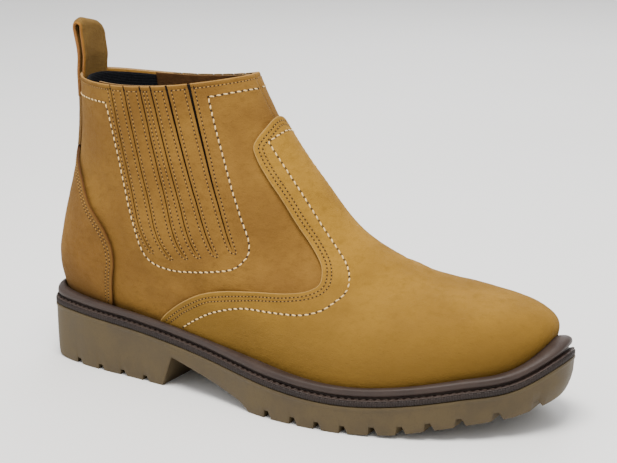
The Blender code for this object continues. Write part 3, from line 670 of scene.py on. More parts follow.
# ---------------------------------------------------------------- materials


class Finish:
    """A Principled material whose colour and relief come from noise over the object's own space."""

    def __init__(self, name, roughness, metallic=0.0, **constants):
        self.material = bpy.data.materials.new(name)
        self.material.use_nodes = True
        self.nodes = self.material.node_tree.nodes
        self.links = self.material.node_tree.links
        self.shader = self.nodes["Principled BSDF"]
        self.shader.inputs["Roughness"].default_value = roughness
        self.shader.inputs["Metallic"].default_value = metallic
        for socket, value in constants.items():
            self.shader.inputs[socket.replace("_", " ")].default_value = value
        self.place = self.nodes.new("ShaderNodeTexCoord").outputs["Object"]
        self.heights = None

    def texture(self, kind, size, stretch=(1, 1, 1)):
        """Texture node over the object's own space, with features of about size millimetres."""
        node = self.nodes.new("ShaderNodeTex" + kind)
        node.inputs["Scale"].default_value = 1 / (size * MM)
        mapping = self.nodes.new("ShaderNodeMapping")
        mapping.inputs["Scale"].default_value = stretch
        self.links.new(self.place, mapping.inputs["Vector"])
        self.links.new(mapping.outputs["Vector"], node.inputs["Vector"])
        return node

    def noise(self, size, detail=4.0, roughness=0.6, stretch=(1, 1, 1)):
        node = self.texture("Noise", size, stretch)
        node.inputs["Detail"].default_value = detail
        node.inputs["Roughness"].default_value = roughness
        return node.outputs["Fac"]

    def cells(self, size):
        """Distance in a cell pattern."""
        return self.texture("Voronoi", size).outputs["Distance"]

    def weave(self, size, direction="X"):
        """Parallel ridges with the given spacing."""
        node = self.nodes.new("ShaderNodeTexWave")
        node.wave_type = "BANDS"
        node.bands_direction = direction
        node.inputs["Scale"].default_value = math.pi / 10 / (size * MM)
        node.inputs["Distortion"].default_value = 0.6
        node.inputs["Detail"].default_value = 1.0
        self.links.new(self.place, node.inputs["Vector"])
        return node.outputs["Fac"]

    def attribute(self, name):
        node = self.nodes.new("ShaderNodeAttribute")
        node.attribute_name = name
        return node.outputs["Fac"]

    def axis(self, name):
        """One coordinate of the object's own space, in metres."""
        node = self.nodes.new("ShaderNodeSeparateXYZ")
        self.links.new(self.place, node.inputs["Vector"])
        return node.outputs[name]

    def span(self, value, low, high, start=0.0, end=1.0):
        """Value carried from low..high to start..end and clamped."""
        node = self.nodes.new("ShaderNodeMapRange")
        node.interpolation_type = "SMOOTHSTEP"
        for socket, number in zip(("From Min", "From Max", "To Min", "To Max"), (low, high, start, end)):
            node.inputs[socket].default_value = number
        self.links.new(value, node.inputs["Value"])
        return node.outputs["Result"]

    def mix(self, factor, first, second):
        """Colour between first and second, each a colour or a node's output."""
        node = self.nodes.new("ShaderNodeMix")
        node.data_type = "RGBA"
        self.links.new(factor, node.inputs["Factor"])
        for socket, value in zip(("A", "B"), (first, second)):
            spot = next(s for s in node.inputs if s.name == socket and s.type == "RGBA")
            if isinstance(value, tuple):
                spot.default_value = (*value, 1)
            else:
                self.links.new(value, spot)
        return next(s for s in node.outputs if s.type == "RGBA")

    def color(self, value):
        self.links.new(value, self.shader.inputs["Base Color"])

    def tones(self, pattern, low, high, first, second, over, start, stop, amount, last):
        """Base colour from first to second by a pattern, with some of the last colour over it."""
        base = self.mix(self.span(pattern, low, high), first, second)
        self.color(self.mix(self.span(over, start, stop, 0, amount), base, last))

    def roughness(self, value, low, high):
        self.links.new(self.span(value, 0.25, 0.75, low, high), self.shader.inputs["Roughness"])

    def bump(self, height, depth):
        """Adds relief of the given depth in millimetres."""
        node = self.nodes.new("ShaderNodeBump")
        node.inputs["Distance"].default_value = depth * MM
        self.links.new(height, node.inputs["Height"])
        if self.heights is not None:
            self.links.new(self.heights, node.inputs["Normal"])
        self.heights = node.outputs["Normal"]
        self.links.new(self.heights, self.shader.inputs["Normal"])


def shaded(color, shares):
    """A colour with each channel brought down to its share."""
    return tuple(channel * share for channel, share in zip(color, shares))


def nubuck(name, light, dark, raw, sheen=0.06, low=0.0):
    """Brushed leather: soft patches, fine nap, a cut edge, and darker near the sole by low."""
    finish = Finish(name, 0.88, Sheen_Weight=sheen, Sheen_Roughness=0.45, Specular_IOR_Level=0.1)
    finish.shader.inputs["Sheen Tint"].default_value = (1.0, 0.7, 0.3, 1)
    patches = finish.noise(34, 3, 0.55)
    mottle = finish.noise(5, 6, 0.7, (1, 1, 1.6))
    nap = finish.noise(0.9, 3, 0.7)
    grain = finish.cells(0.8)
    base = finish.mix(finish.span(patches, 0.32, 0.68), dark, light)
    deeper = shaded(dark, (0.8, 0.8, 0.8))
    base = finish.mix(finish.span(mottle, 0.45, 0.72, 0, 0.55), base, deeper)
    base = finish.mix(finish.span(nap, 0.5, 0.75, 0, 0.28), base, deeper)
    # Darker towards the bottom, by low: fully below 30 mm up, fading out by 85 mm.
    bottom_tone = shaded(dark, (0.66, 0.7, 0.95))
    base = finish.mix(finish.span(finish.axis("Z"), 0.03, 0.085, low, 0), base, bottom_tone)
    near_cut = finish.span(finish.attribute("edge"), 0.15, 0.75, 0.75, 0)
    finish.color(finish.mix(near_cut, base, raw))
    finish.roughness(mottle, 0.8, 0.95)
    finish.bump(nap, 0.22)
    finish.bump(mottle, 0.5)
    finish.bump(grain, 0.1)
    return finish.material


def raw_edge(name, light, dark, inside=None):
    """Cut edge of thick leather: pale, with the fibres' layers; painted shade, near black, on the cut faces
    inside a slit, if given.
    """
    finish = Finish(name, 0.92)
    layers = finish.noise(0.7, 4, 0.7, (1, 1, 3))
    base = finish.mix(finish.span(layers, 0.35, 0.7), dark, light)
    # Painted shade: cut faces far from the collar rim, the walls of the slits, take the near-black colour.
    if inside is not None:
        base = finish.mix(finish.span(finish.attribute("edge"), 0.4, 1.2), base, inside)
    finish.color(base)
    finish.bump(layers, 0.25)
    return finish.material


def thread_finish(name, light, dark):
    """Twisted thread."""
    finish = Finish(name, 0.8, Sheen_Weight=0.03, Specular_IOR_Level=0.2)
    twist = finish.noise(0.45, 2, 0.5)
    wear = finish.noise(6, 2, 0.5)
    finish.tones(twist, 0.35, 0.65, dark, light, wear, 0.55, 0.75, 0.35, dark)
    finish.bump(twist, 0.12)
    return finish.material


def cloth_finish(name, light, dark, size=0.9):
    """Knitted lining: a fine rib in two directions with soft fluff."""
    finish = Finish(name, 0.95, Sheen_Weight=0.02, Sheen_Roughness=0.5, Specular_IOR_Level=0.15)
    ribs = finish.weave(size, "Z")
    knit = finish.cells(size)
    fluff = finish.noise(2.5, 4, 0.7)
    finish.tones(knit, 0.1, 0.6, light, dark, fluff, 0.35, 0.75, 0.6, dark)
    finish.bump(ribs, 0.25)
    finish.bump(knit, 0.2)
    return finish.material


def rubber_finish(name, light, dark, roughness, speck=0.5):
    """Moulded rubber: faint clouds, fine pores and a scuffed sheen."""
    finish = Finish(name, roughness, Specular_IOR_Level=0.28)
    clouds = finish.noise(16, 4, 0.6)
    pores = finish.noise(speck, 3, 0.7)
    finish.tones(clouds, 0.3, 0.7, dark, light, pores, 0.5, 0.8, 0.5, shaded(dark, (0.7, 0.7, 0.7)))
    finish.roughness(clouds, roughness - 0.08, roughness + 0.1)
    finish.bump(pores, 0.08)
    return finish.material


def steel_finish(name):
    """Pressed steel with a brushed, lightly oiled surface."""
    finish = Finish(name, 0.4, metallic=1.0)
    brush = finish.noise(1.2, 4, 0.7, (0.15, 1, 1))
    stain = finish.noise(18, 3, 0.6)
    dark = (0.42, 0.43, 0.45)
    light = (0.6, 0.6, 0.61)
    finish.tones(brush, 0.3, 0.7, dark, light, stain, 0.55, 0.75, 0.5, (0.3, 0.27, 0.24))
    finish.roughness(brush, 0.3, 0.5)
    finish.bump(brush, 0.05)
    return finish.material


def board_finish(name, light, dark, size):
    """Pressed fibre or cork: flecks of two tones."""
    finish = Finish(name, 0.9)
    flecks = finish.cells(size)
    fibres = finish.noise(size * 3, 5, 0.7, (1, 2, 1))
    finish.tones(flecks, 0.1, 0.7, light, dark, fibres, 0.45, 0.75, 0.6, dark)
    finish.bump(flecks, 0.2)
    return finish.material


VAMP_LEATHER = nubuck("vamp_nubuck", (0.31, 0.163, 0.021), (0.232, 0.119, 0.0165), (0.36, 0.22, 0.07),
                      low=0.85)
SHAFT_LEATHER = nubuck("shaft_nubuck", (0.225, 0.114, 0.022), (0.165, 0.08, 0.0165), (0.38, 0.21, 0.06),
                       low=0.1)
COUNTER_LEATHER = nubuck("counter_nubuck", (0.195, 0.093, 0.018), (0.14, 0.065, 0.013), (0.1, 0.04, 0.012),
                         low=0.3)
COUNTER_EDGE_FACE = raw_edge("counter_edge_face", (0.12, 0.05, 0.016), (0.06, 0.024, 0.008))
RAW_EDGE = raw_edge("raw_leather_edge", (0.36, 0.22, 0.08), (0.2, 0.11, 0.035))
# The slits' cut faces carry painted shade, near black away from the collar rim.
SLIT_EDGE_SHADED = raw_edge("slit_edge_painted_shade", (0.36, 0.22, 0.08), (0.2, 0.11, 0.035), (0.028, 0.01, 0.004))
STRAP_LEATHER = nubuck("strap_leather", (0.2, 0.115, 0.03), (0.135, 0.075, 0.02), (0.3, 0.13, 0.025), 0.03)
STRAP_EDGE = raw_edge("strap_edge", (0.36, 0.15, 0.03), (0.2, 0.08, 0.016))
FACING_LEATHER = nubuck("facing_leather_grain", (0.08, 0.036, 0.012), (0.05, 0.022, 0.008), (0.2, 0.11, 0.04),
                        0.03)
LINING_CLOTH = cloth_finish("lining_knit", (0.007, 0.008, 0.012), (0.003, 0.0033, 0.005))
# Dark elastic whose colour is taken darker still as painted shade, for the shade seen through the slits.
DARK_WEB_AND_SLIT_SHADE = cloth_finish("elastic_web_and_slit_shade", (0.01, 0.007, 0.005), (0.004, 0.003, 0.002), 0.7)
HEAVY_THREAD = thread_finish("heavy_thread", (0.9, 0.66, 0.32), (0.6, 0.4, 0.15))
FINE_THREAD = thread_finish("fine_thread", (0.42, 0.24, 0.06), (0.25, 0.13, 0.03))
WELT_THREAD = thread_finish("welt_stitch_thread", (0.05, 0.032, 0.024), (0.018, 0.012, 0.009))
# Painted shade: near-black discs stand for the shade inside the needle holes.
PAINTED_HOLE_SHADE = raw_edge("painted_hole_shade", (0.014, 0.006, 0.002), (0.005, 0.002, 0.001))
# Painted shade: the band's rubber is taken darker than the welt's for the shade under the overhanging roll.
BAND_RUBBER_SHADED = rubber_finish("band_rubber_painted_shade", (0.021, 0.013, 0.0105), (0.014, 0.0085, 0.007), 0.55)
WELT_RUBBER = rubber_finish("welt_rubber_brown", (0.042, 0.027, 0.021), (0.029, 0.018, 0.0145), 0.5)
SOLE_RUBBER = rubber_finish("sole_rubber_tan", (0.086, 0.061, 0.027), (0.062, 0.043, 0.019), 0.62, 0.8)
STEEL = steel_finish("pressed_steel")
BOARD = board_finish("fibre_board_flecked", (0.36, 0.25, 0.15), (0.22, 0.14, 0.08), 1.2)
CORK = board_finish("cork_granules", (0.38, 0.22, 0.11), (0.16, 0.08, 0.04), 2.2)
STRIP_RUBBER = rubber_finish("edge_strip_rubber", (0.03, 0.03, 0.032), (0.015, 0.015, 0.016), 0.7)
FOOTBED_CLOTH = cloth_finish("footbed_cloth", (0.05, 0.052, 0.06), (0.018, 0.019, 0.023), 1.1)

# ---------------------------------------------------------------- leather panels of the upper

# Flex creases over the ball: level and place of the middle, half length and slant of each.
CREASES = (
    (0.42, 0.405, 7, 0.5), (0.405, 0.43, 9, 0.35), (0.43, 0.447, 8, 0.2), (0.398, 0.462, 9, 0.1),
    (0.437, 0.478, 8, 0.0), (0.415, 0.5, 11, 0.0), (0.39, 0.385, 6, 0.6),
)
CREASE_DEPTH = 0.42
CREASE_WAVE = 1.5
CREASE_WIDTH = 3.2


def crease_field(level, place):
    """Short folds that run across the vamp where the foot bends."""
    field = np.zeros(np.shape(level))
    spots = CREASES + tuple((row, 1 - spot, half, -slant) for row, spot, half, slant in CREASES)
    for middle_level, middle_place, half_length, slant in spots:
        up, along, _ = surface_frame(np.array(middle_level), np.array(middle_place))
        across = (place - middle_place) * np.linalg.norm(along)
        rise = (level - middle_level) * np.linalg.norm(up) - across * slant
        fold = np.cos(rise * CREASE_WAVE) * np.exp(-(rise / CREASE_WIDTH) ** 2)
        field += np.exp(-(across / half_length) ** 2) * fold
    return field


def waves(points, *layers):
    """Sum of uneven fields, each given as (depth, size, seed)."""
    return sum(depth * ripple(points, size, seed) for depth, size, seed in layers)


def vamp_relief(points, level, place):
    return waves(points, (0.1, 38, 3), (0.04, 11, 4)) - CREASE_DEPTH * crease_field(level, place)


VAMP_LINE = tuple(knot for knot in VAMP_EDGE if knot[0] < 0.86) + ((1.0, 0.6),)


def shaft_relief(points, level, place):
    """Unevenness of the quarter, less where it lies under the vamp and the counter."""
    free = step_up(place * (place < 0.5) + (1 - place) * (place >= 0.5), 0.12, 0.16)
    free = free * (1 - step_up(np.minimum(place, 1 - place) - at_level(VAMP_LINE, level), -0.02, 0.0))
    return waves(points, (0.17, 42, 7), (0.06, 12, 8)) * (0.25 + 0.75 * free)


def counter_relief(points, level, place):
    return waves(points, (0.12, 40, 11), (0.04, 12, 12))


def build_vamp():
    vamp, edge = bordered_panel(
        "vamp_leather", VAMP_EDGE, VAMP_CORNER, 0.5, 1, (1.3, 0.42), (VAMP_LEATHER, RAW_EDGE), vamp_relief)
    finish_piece(vamp, "nubuck", "vamp")
    return edge


def build_counter():
    counter, edge = bordered_panel(
        "heel_counter_leather", COUNTER_EDGE, COUNTER_CORNER, 0.0, -1, (1.3, 1.2),
        (COUNTER_LEATHER, COUNTER_EDGE_FACE), counter_relief)
    finish_piece(counter, "nubuck", "heel_counter_cover")
    return edge


def row_levels(low, high, spacing, from_rim):
    """Levels of a panel's rows: given distances below the rim, then about even."""
    tall = np.linspace(low, high, 400)
    heights = climb(tall, SIDE_MIDDLE)
    wanted = heights[-1] - np.array(from_rim)
    rest = np.linspace(0, wanted[-1], int(wanted[-1] / spacing))[:-1]
    return np.interp(np.concatenate([rest, wanted[::-1]]), heights, tall)


RIM_ROWS = (0, 0.1, 0.3, 0.6, 1.0, 1.5, 1.9, 2.15, 2.3, 2.45, 2.7, 3.1, 3.8)
SLIT_HALF = 0.22
SLIT_COLUMNS = (0, 0.08, 0.25, 0.5, 0.9, 1.4, 1.75, 1.9, 2.0, 2.1, 2.25, 2.6, 3.1)
SIDE_MIDDLE = 0.25
QUARTER_FOOT = -0.04
QUARTER_ROW_SPACING = 0.85
QUARTER_COLUMN_SPACING = 1.9
QUARTER_BACK = 0.002
QUARTER_FRONT = 0.4998
SEAM_FOOT = 0.86


def slit_place(slit, level):
    """Place of a slit's line, carried on straight below its foot."""
    foot_level, foot, top, _ = slit
    return foot + (top - foot) * np.clip((level - foot_level) / (1 - foot_level), 0, 1)


def slit_gap(slit, level):
    """Half the slit's opening, in millimetres."""
    foot_level, _, _, half_gap = slit
    share = np.clip((level - foot_level) / (1 - foot_level), 0, 1)
    return (SLIT_HALF + (half_gap - SLIT_HALF) * share) * step_up(share, 0, 0.04)


def strip_fractions(width, spacing, near_left, near_right):
    """Column distances over a strip: close together beside its cut edges."""
    left = [d for d in SLIT_COLUMNS if d < width * 0.45] if near_left else [0]
    right = [width - d for d in SLIT_COLUMNS if d < width * 0.45] if near_right else [width]
    inner = np.linspace(left[-1], right[-1], max(2, int((right[-1] - left[-1]) / spacing)) + 1)[1:-1]
    return np.concatenate([left, inner, right[::-1]]) / width


def slit_distance(levels, places, per_place, per_level):
    """Distance to the nearest slit, its foot included, in millimetres."""
    nearest = np.full(levels.shape, FAR_FROM_EDGE)
    for slit in SLITS:
        beside = np.abs((places - slit_place(slit, levels)) * per_place)
        beside = np.clip(beside - slit_gap(slit, levels), 0, None)
        below = np.clip(slit[0] - levels, 0, None) * per_level
        nearest = np.minimum(nearest, np.hypot(beside, below))
    return nearest


STRIP_BULGE = 0.55


def quarter_depth(level, place):
    """Depth of the quarter's face, which bulges on the strips between the slits."""
    across = np.minimum(place % 1, 1 - place % 1)
    per_place = np.linalg.norm(surface_frame(level, across)[1], axis=-1)
    crown = np.zeros(np.shape(level))
    for left, right in zip(SLITS, SLITS[1:]):
        start = slit_place(left, level) + slit_gap(left, level) / per_place
        stop = slit_place(right, level) - slit_gap(right, level) / per_place
        crown += np.sin(math.pi * np.clip((across - start) / (stop - start), 0, 1))
    return QUARTER_DEPTH - STRIP_BULGE * crown * step_up(level, 0.5, 0.62)


def build_quarter(name, mirrored, node):
    levels = row_levels(QUARTER_FOOT, 1, QUARTER_ROW_SPACING, RIM_ROWS)
    up, along, _ = surface_frame(levels, np.full(len(levels), 0.27))
    per_place = np.linalg.norm(along, axis=1)
    per_level = np.linalg.norm(up, axis=1)
    heights = climb(levels, SIDE_MIDDLE)
    rim_distance = heights[-1] - heights
    bounds = [(np.full(len(levels), QUARTER_BACK), False)]
    for slit in SLITS:
        line = slit_place(slit, levels)
        gap = slit_gap(slit, levels) / per_place
        bounds += [(line - gap, True), (line + gap, True)]
    front = np.where(levels > SEAM_FOOT, QUARTER_FRONT, at_level(HIDDEN_EDGE, levels))
    bounds.append((front, False))
    patches = []
    for (left, cut_left), (right, cut_right) in zip(bounds[::2], bounds[1::2]):
        width = float(np.median((right - left) * per_place))
        fractions = strip_fractions(width, QUARTER_COLUMN_SPACING, cut_left, cut_right)
        places = left[:, None] + (right - left)[:, None] * fractions
        rows = np.repeat(levels[:, None], places.shape[1], axis=1)
        to_slit = slit_distance(rows, places, per_place[:, None], per_level[:, None])
        to_rim = np.repeat(rim_distance[:, None], places.shape[1], axis=1)
        cut = np.minimum(to_slit, to_rim)
        depth = quarter_depth(rows, places) + rolled(cut)
        depth = depth + seam_groove(to_slit, (SLIT_ROW,)) + seam_groove(to_rim, (RIM_ROW,))
        if mirrored:
            places = 1 - places
        patches.append(patch(rows, places, depth, to_rim, shaft_relief))
    quarter = thicken(welded(name, patches, (SHAFT_LEATHER, SLIT_EDGE_SHADED)), QUARTER_WALL)
    finish_piece(quarter, "nubuck", node)


def simple_panel(name, levels, start, stop, spacing, depth, wall, materials, relief=level_relief):
    """Panel between two places at each level; depth may be a function of (level, place)."""
    levels = np.asarray(levels, float)
    start = np.broadcast_to(start, levels.shape)
    stop = np.broadcast_to(stop, levels.shape)
    _, along, _ = surface_frame(levels, (start + stop) / 2)
    width = float(np.max((stop - start) * np.linalg.norm(along, axis=1)))
    fractions = np.linspace(0, 1, int(width / spacing) + 2)
    places = start[:, None] + (stop - start)[:, None] * fractions
    rows = np.repeat(levels[:, None], len(fractions), axis=1)
    depths = depth(rows, places) if callable(depth) else np.full(rows.shape, float(depth))
    sheet = welded(name, [patch(rows, places, depths, None, relief)], materials)
    return thicken(sheet, wall, len(materials) - 1)


BACKSTAY_HALF = 0.046
BACKSTAY_FOOT = 0.742
BACKSTAY_DEPTH = 0.05


def build_backstay():
    """Strip up the heel's back, from the counter's peak to the collar."""
    levels = row_levels(BACKSTAY_FOOT, 0.998, 0.7, RIM_ROWS)
    _, along, _ = surface_frame(levels, np.zeros(len(levels)))
    width = 2 * BACKSTAY_HALF * float(np.median(np.linalg.norm(along, axis=1)))
    columns = [d for d in BORDER if d < 7]
    inner = np.linspace(columns[-1], width - columns[-1], 14)[1:-1]
    across = np.concatenate([columns, inner, [width - d for d in reversed(columns)]])
    places = (across / width * 2 - 1) * BACKSTAY_HALF
    rows, grid = np.meshgrid(levels, places, indexing="ij")
    from_side = np.minimum(across, width - across)[None] + 0 * rows
    heights = climb(levels, 0.0)
    to_rim = (heights[-1] - heights)[:, None] + 0 * rows
    cut = np.minimum(from_side, to_rim)
    depth = BACKSTAY_DEPTH + rolled(cut) + seam_groove(from_side, SEAM_ROWS)
    strip = patch(rows, grid, depth, cut, counter_relief)
    piece = welded("backstay_leather", [strip], (COUNTER_LEATHER, RAW_EDGE))
    finish_piece(thicken(piece, VAMP_WALL), "nubuck", "backstay_strip")


ELASTIC_LEVELS = (0.41, 0.998)
ELASTIC_BACK = ((0.4, 0.207), (1, 0.19))
ELASTIC_FRONT = ((0.4, 0.322), (1, 0.38))
ELASTIC_RIB = 0.18
ELASTIC_RIBS_ROUND = 330


def elastic_depth(level, place):
    """Rubber cores of the elastic stand up as fine ribs along the leg; its top leans outwards."""
    upper_end = ELASTIC_RISE * step_up(level, 0.93, 0.985)
    return ELASTIC_DEPTH - upper_end - ELASTIC_RIB * np.cos(place * 2 * math.pi * ELASTIC_RIBS_ROUND)


def build_elastic(name, mirrored, node):
    levels = np.linspace(*ELASTIC_LEVELS, 60)
    back = at_level(ELASTIC_BACK, levels)
    front = at_level(ELASTIC_FRONT, levels)
    if mirrored:
        back, front = 1 - front, 1 - back
    web = simple_panel(name, levels, back, front, 0.22, elastic_depth, ELASTIC_WALL, (DARK_WEB_AND_SLIT_SHADE,))
    finish_piece(web, "elastic", node)


LINING_DEPTH = 6.8
LINING_RISE = 2.2
LINING_STRAP_ROOM = 1.8
LINING_FOOT = -0.03
SHAFT_LINING_TOP = 0.988
VAMP_LINING_TOP = 0.8
VAMP_LINING_DEPTH = 5.2
FACING_LEVELS = (0.835, 0.998)
FACING_PLACES = (0.16, 0.84)


def lining_depth(level, place):
    """Inside the stiffener low down, close behind the leather at the collar, before the strap's end."""
    beside_strap = step_up(np.abs(place), 0.06, 0.11)
    rise = LINING_RISE - LINING_STRAP_ROOM * (1 - beside_strap)
    return LINING_DEPTH - rise * step_up(level, 0.74, 0.86)


def soft_relief(points, level, place):
    return waves(points, (0.15, 30, 21))


def build_linings():
    levels = np.linspace(LINING_FOOT, SHAFT_LINING_TOP, 110)
    front = at_level(HIDDEN_EDGE, levels)
    shaft = simple_panel("shaft_lining_cloth", levels, -front, front, 2.2, lining_depth, LINING_WALL,
                         (LINING_CLOTH,), soft_relief)
    finish_piece(shaft, "lining_cloth", "shaft_lining")
    levels = np.linspace(LINING_FOOT, VAMP_LINING_TOP, 90)
    edge = at_level(HIDDEN_EDGE, levels) + 0.01
    toe = simple_panel("vamp_lining_cloth", levels, edge, 1 - edge, 3.0, VAMP_LINING_DEPTH, LINING_WALL,
                       (LINING_CLOTH,), soft_relief)
    finish_piece(toe, "lining_cloth", "vamp_lining")


def build_facing():
    levels = np.linspace(*FACING_LEVELS, 34)
    facing = simple_panel("collar_facing_leather", levels, *FACING_PLACES, 1.0, FACING_DEPTH, FACING_WALL,
                          (FACING_LEATHER, RAW_EDGE), soft_relief)
    finish_piece(facing, "facing_leather", "collar_facing")


# ---------------------------------------------------------------- stitching on the upper

RIM_ROW_LEVEL = 0.984
RIM_ROW_ENDS = ((0.05, 0.2, 40), (0.354, 0.496, 60))
BACKSTAY_ROW_LEVELS = (0.78, 0.985)
STITCH_DEPTH = SEAM_GROOVE * 0.5

def slit_rows():
    """Stitch rows on the outer side: a narrow U round each slit and a bar over each strip."""
    rows = []
    turn = np.linspace(0, math.pi, 16)[1:-1]
    for slit in SLITS:
        levels = np.linspace(RIM_ROW_LEVEL, slit[0], 60)
        middle = slit_place(slit, levels)
        up, along, _ = surface_frame(levels, middle)
        per_place = np.linalg.norm(along, axis=1)
        per_level = float(np.linalg.norm(up, axis=1)[-1])
        reach = (SLIT_ROW + slit_gap(slit, levels)) / per_place
        bend = line_of(slit[0] - np.sin(turn) * SLIT_ROW / per_level,
                       slit[1] - np.cos(turn) * SLIT_ROW / per_place[-1])
        rows.append(np.vstack([line_of(levels, middle - reach), bend, line_of(levels, middle + reach)[::-1]]))
    for pair in zip(SLITS, SLITS[1:]):
        ends = []
        for slit, side in zip(pair, (1, -1)):
            _, along, _ = surface_frame(np.array(RIM_ROW_LEVEL), np.array(slit[2]))
            ends.append(slit[2] + side * (SLIT_ROW + slit[3]) / np.linalg.norm(along))
        rows.append(line_of(RIM_ROW_LEVEL, np.linspace(*ends, 12)))
    for start, stop, count in RIM_ROW_ENDS:
        rows.append(line_of(RIM_ROW_LEVEL, np.linspace(start, stop, count)))
    return rows


def above_welt(line):
    """The part of a line that is above the welt."""
    return line[line[:, 0] > 0]


def vamp_face(level, place):
    return uneven(level, place, STITCH_DEPTH, vamp_relief)


def counter_face(level, place):
    return uneven(level, place, STITCH_DEPTH, counter_relief)


def quarter_face(level, place):
    return uneven(level, place, quarter_depth(level, place) + STITCH_DEPTH, shaft_relief)


# Pitch, thread radius, thread's share of the pitch, hole radius and slant.
FINE_STITCH = (2.1, 0.25, 0.52, 0.44)
HEAVY_STITCH = (3.5, 0.4, 0.74, 0.62, 0.16)


def build_stitching(vamp_edge, counter_edge):
    fine = Stitches()
    heavy = Stitches()
    for row in SEAM_ROWS:
        fine.sew(above_welt(offset_line(vamp_edge, row)), vamp_face, *FINE_STITCH)
        fine.sew(above_welt(offset_line(counter_edge, -row)), counter_face, *FINE_STITCH)
        for place in (BACKSTAY_HALF, -BACKSTAY_HALF):
            side = line_of(np.linspace(*BACKSTAY_ROW_LEVELS, 40), place)
            fine.sew(offset_line(side, -row if place > 0 else row), counter_face, *FINE_STITCH)
    for row in slit_rows():
        for line in (row, mirror_line(row)):
            fine.sew(line, quarter_face, *FINE_STITCH)
    rising = smooth_line(VAMP_STITCH)
    crossing = whole_line(smooth_line(VAMP_STITCH_TOP))
    heavy.sew(np.vstack([rising, crossing[1:], mirror_line(rising)[::-1][1:]]), vamp_face, *HEAVY_STITCH)
    for run in (GORE_STITCH_BACK, GORE_STITCH, GORE_STITCH_FRONT):
        for line in (smooth_line(run), mirror_line(smooth_line(run))):
            heavy.sew(line, quarter_face, *HEAVY_STITCH)
    fine.build("fine_stitches", FINE_THREAD, "heavy_thread")
    fine.build_holes("fine_painted_hole_shades", PAINTED_HOLE_SHADE, "nubuck")
    heavy.build("heavy_stitches", HEAVY_THREAD, "heavy_thread",
                "vamp_thread", "gore_thread_lateral", "gore_thread_medial")
    heavy.build_holes("heavy_painted_hole_shades", PAINTED_HOLE_SHADE, "nubuck")


# ---------------------------------------------------------------- pull strap

TAB_WIDTH = 20.5
TAB_FOOT = 161.8
TAB_THICKNESS = 1.6
TAB_BOW = 0.5
TAB_ROW = 1.9
TAB_FURROW = 0.8
TAB_EDGE_ROLL = 0.7
TAB_EDGE_COLUMNS = (0, 0.15, 0.4, 0.8, 1.3, 1.7, 1.9, 2.1, 2.5, 3.2)
TAB_PATH = (
    (21.5, 146), (21.5, 152), (21.5, 158), (21.8, 163), (22.1, 168), (21.9, 172), (21.1, 177.5),
    (20.2, 182), (19.9, 184.4), (20.3, 186.1), (21.4, 186.7), (22.4, 186.1), (22.8, 184.2), (22.9, 182),
    (23.3, 177.5), (23.9, 172), (24.1, 168), (23.8, 163), (23.5, 158), (23.5, 152), (23.5, 146),
)
TAB_REACH = ((-0.5, 0.93), (-0.42, 0.985), (-0.3, 1), (0.0, 0.94), (0.3, 0.87), (0.42, 0.81), (0.5, 0.68))


def strap_points(across):
    """Strap as a folded ribbon: rows along its path, columns across its width."""
    path = np.array(TAB_PATH, float)
    knots = travelled(path) ** 0.9
    fine = smooth(knots, path, np.linspace(0, knots[-1], 110))
    reach = np.interp(across, *np.array(TAB_REACH).T)
    rise = np.clip(fine[:, 1] - TAB_FOOT, 0, None)[:, None] * reach
    low = np.minimum(fine[:, 1], TAB_FOOT)[:, None]
    x = fine[:, :1] - TAB_BOW * (1 - (2 * across) ** 2)
    y = np.broadcast_to(across * TAB_WIDTH, x.shape)
    return np.stack([x, y, low + rise], axis=-1)


def build_strap():
    from_side = np.array(TAB_EDGE_COLUMNS)
    half = TAB_WIDTH / 2
    middle = np.linspace(-half + from_side[-1], half - from_side[-1], 14)[1:-1]
    across = np.concatenate([from_side - half, middle, (half - from_side)[::-1]]) / TAB_WIDTH
    points = strap_points(across)
    normal = unit(np.cross(np.gradient(points, axis=1), np.gradient(points, axis=0)))
    from_edge = (half - np.abs(across) * TAB_WIDTH)[None] + 0 * points[..., 0]
    furrow = seam_groove(from_edge, (TAB_ROW,)) * TAB_FURROW
    sunk = rolled(from_edge) * TAB_EDGE_ROLL + furrow - 0.08 * ripple(points, 9, 31)
    outward = float(((points - points.mean(axis=(0, 1))) * normal).sum()) > 0
    if not outward:
        normal = -normal
    face = (points - normal * sunk[..., None], from_edge, outward)
    strap = thicken(welded("pull_strap", [face], (STRAP_LEATHER, STRAP_EDGE)), TAB_THICKNESS)
    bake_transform(strap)
    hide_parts("pull_tab", "pull_tab_inner_end")


# ---------------------------------------------------------------- sole


def to_the_right(run):
    """Directions a quarter turn to the right of a run seen from above."""
    return np.stack([run[:, 1], -run[:, 0]], axis=1)


def perimeter(spacing):
    """Points round the sole's outline at even distances, with outward directions."""
    loop = np.vstack([OUTLINE, OUTLINE[:1]])
    distance = travelled(loop)
    count = int(distance[-1] / spacing)
    at = np.linspace(0, distance[-1], count, endpoint=False)
    points = read(at, distance, loop)
    run = np.roll(points, -2, axis=0) - np.roll(points, 2, axis=0)
    return points, unit(to_the_right(run)), at


def reach_to_upper(points, outward):
    """Distance inwards from each outline point to the upper's foot."""
    start = FOOT_RING
    side = np.roll(FOOT_RING, -1, axis=0) - start
    gap = start[None] - points[:, None]
    inward = -outward
    cross = inward[:, None, 0] * side[None, :, 1] - inward[:, None, 1] * side[None, :, 0]
    cross = np.where(np.abs(cross) < 1e-9, 1e-9, cross)
    far = (gap[..., 0] * side[None, :, 1] - gap[..., 1] * side[None, :, 0]) / cross
    share = (gap[..., 0] * inward[:, None, 1] - gap[..., 1] * inward[:, None, 0]) / cross
    far = np.where((share >= 0) & (share <= 1) & (far > 0.5), far, 30.0)
    reach = far.min(axis=1)
    blur = np.ones(9) / 9
    padded = np.concatenate([reach[-4:], reach, reach[:4]])
    return np.convolve(padded, blur, mode="valid")


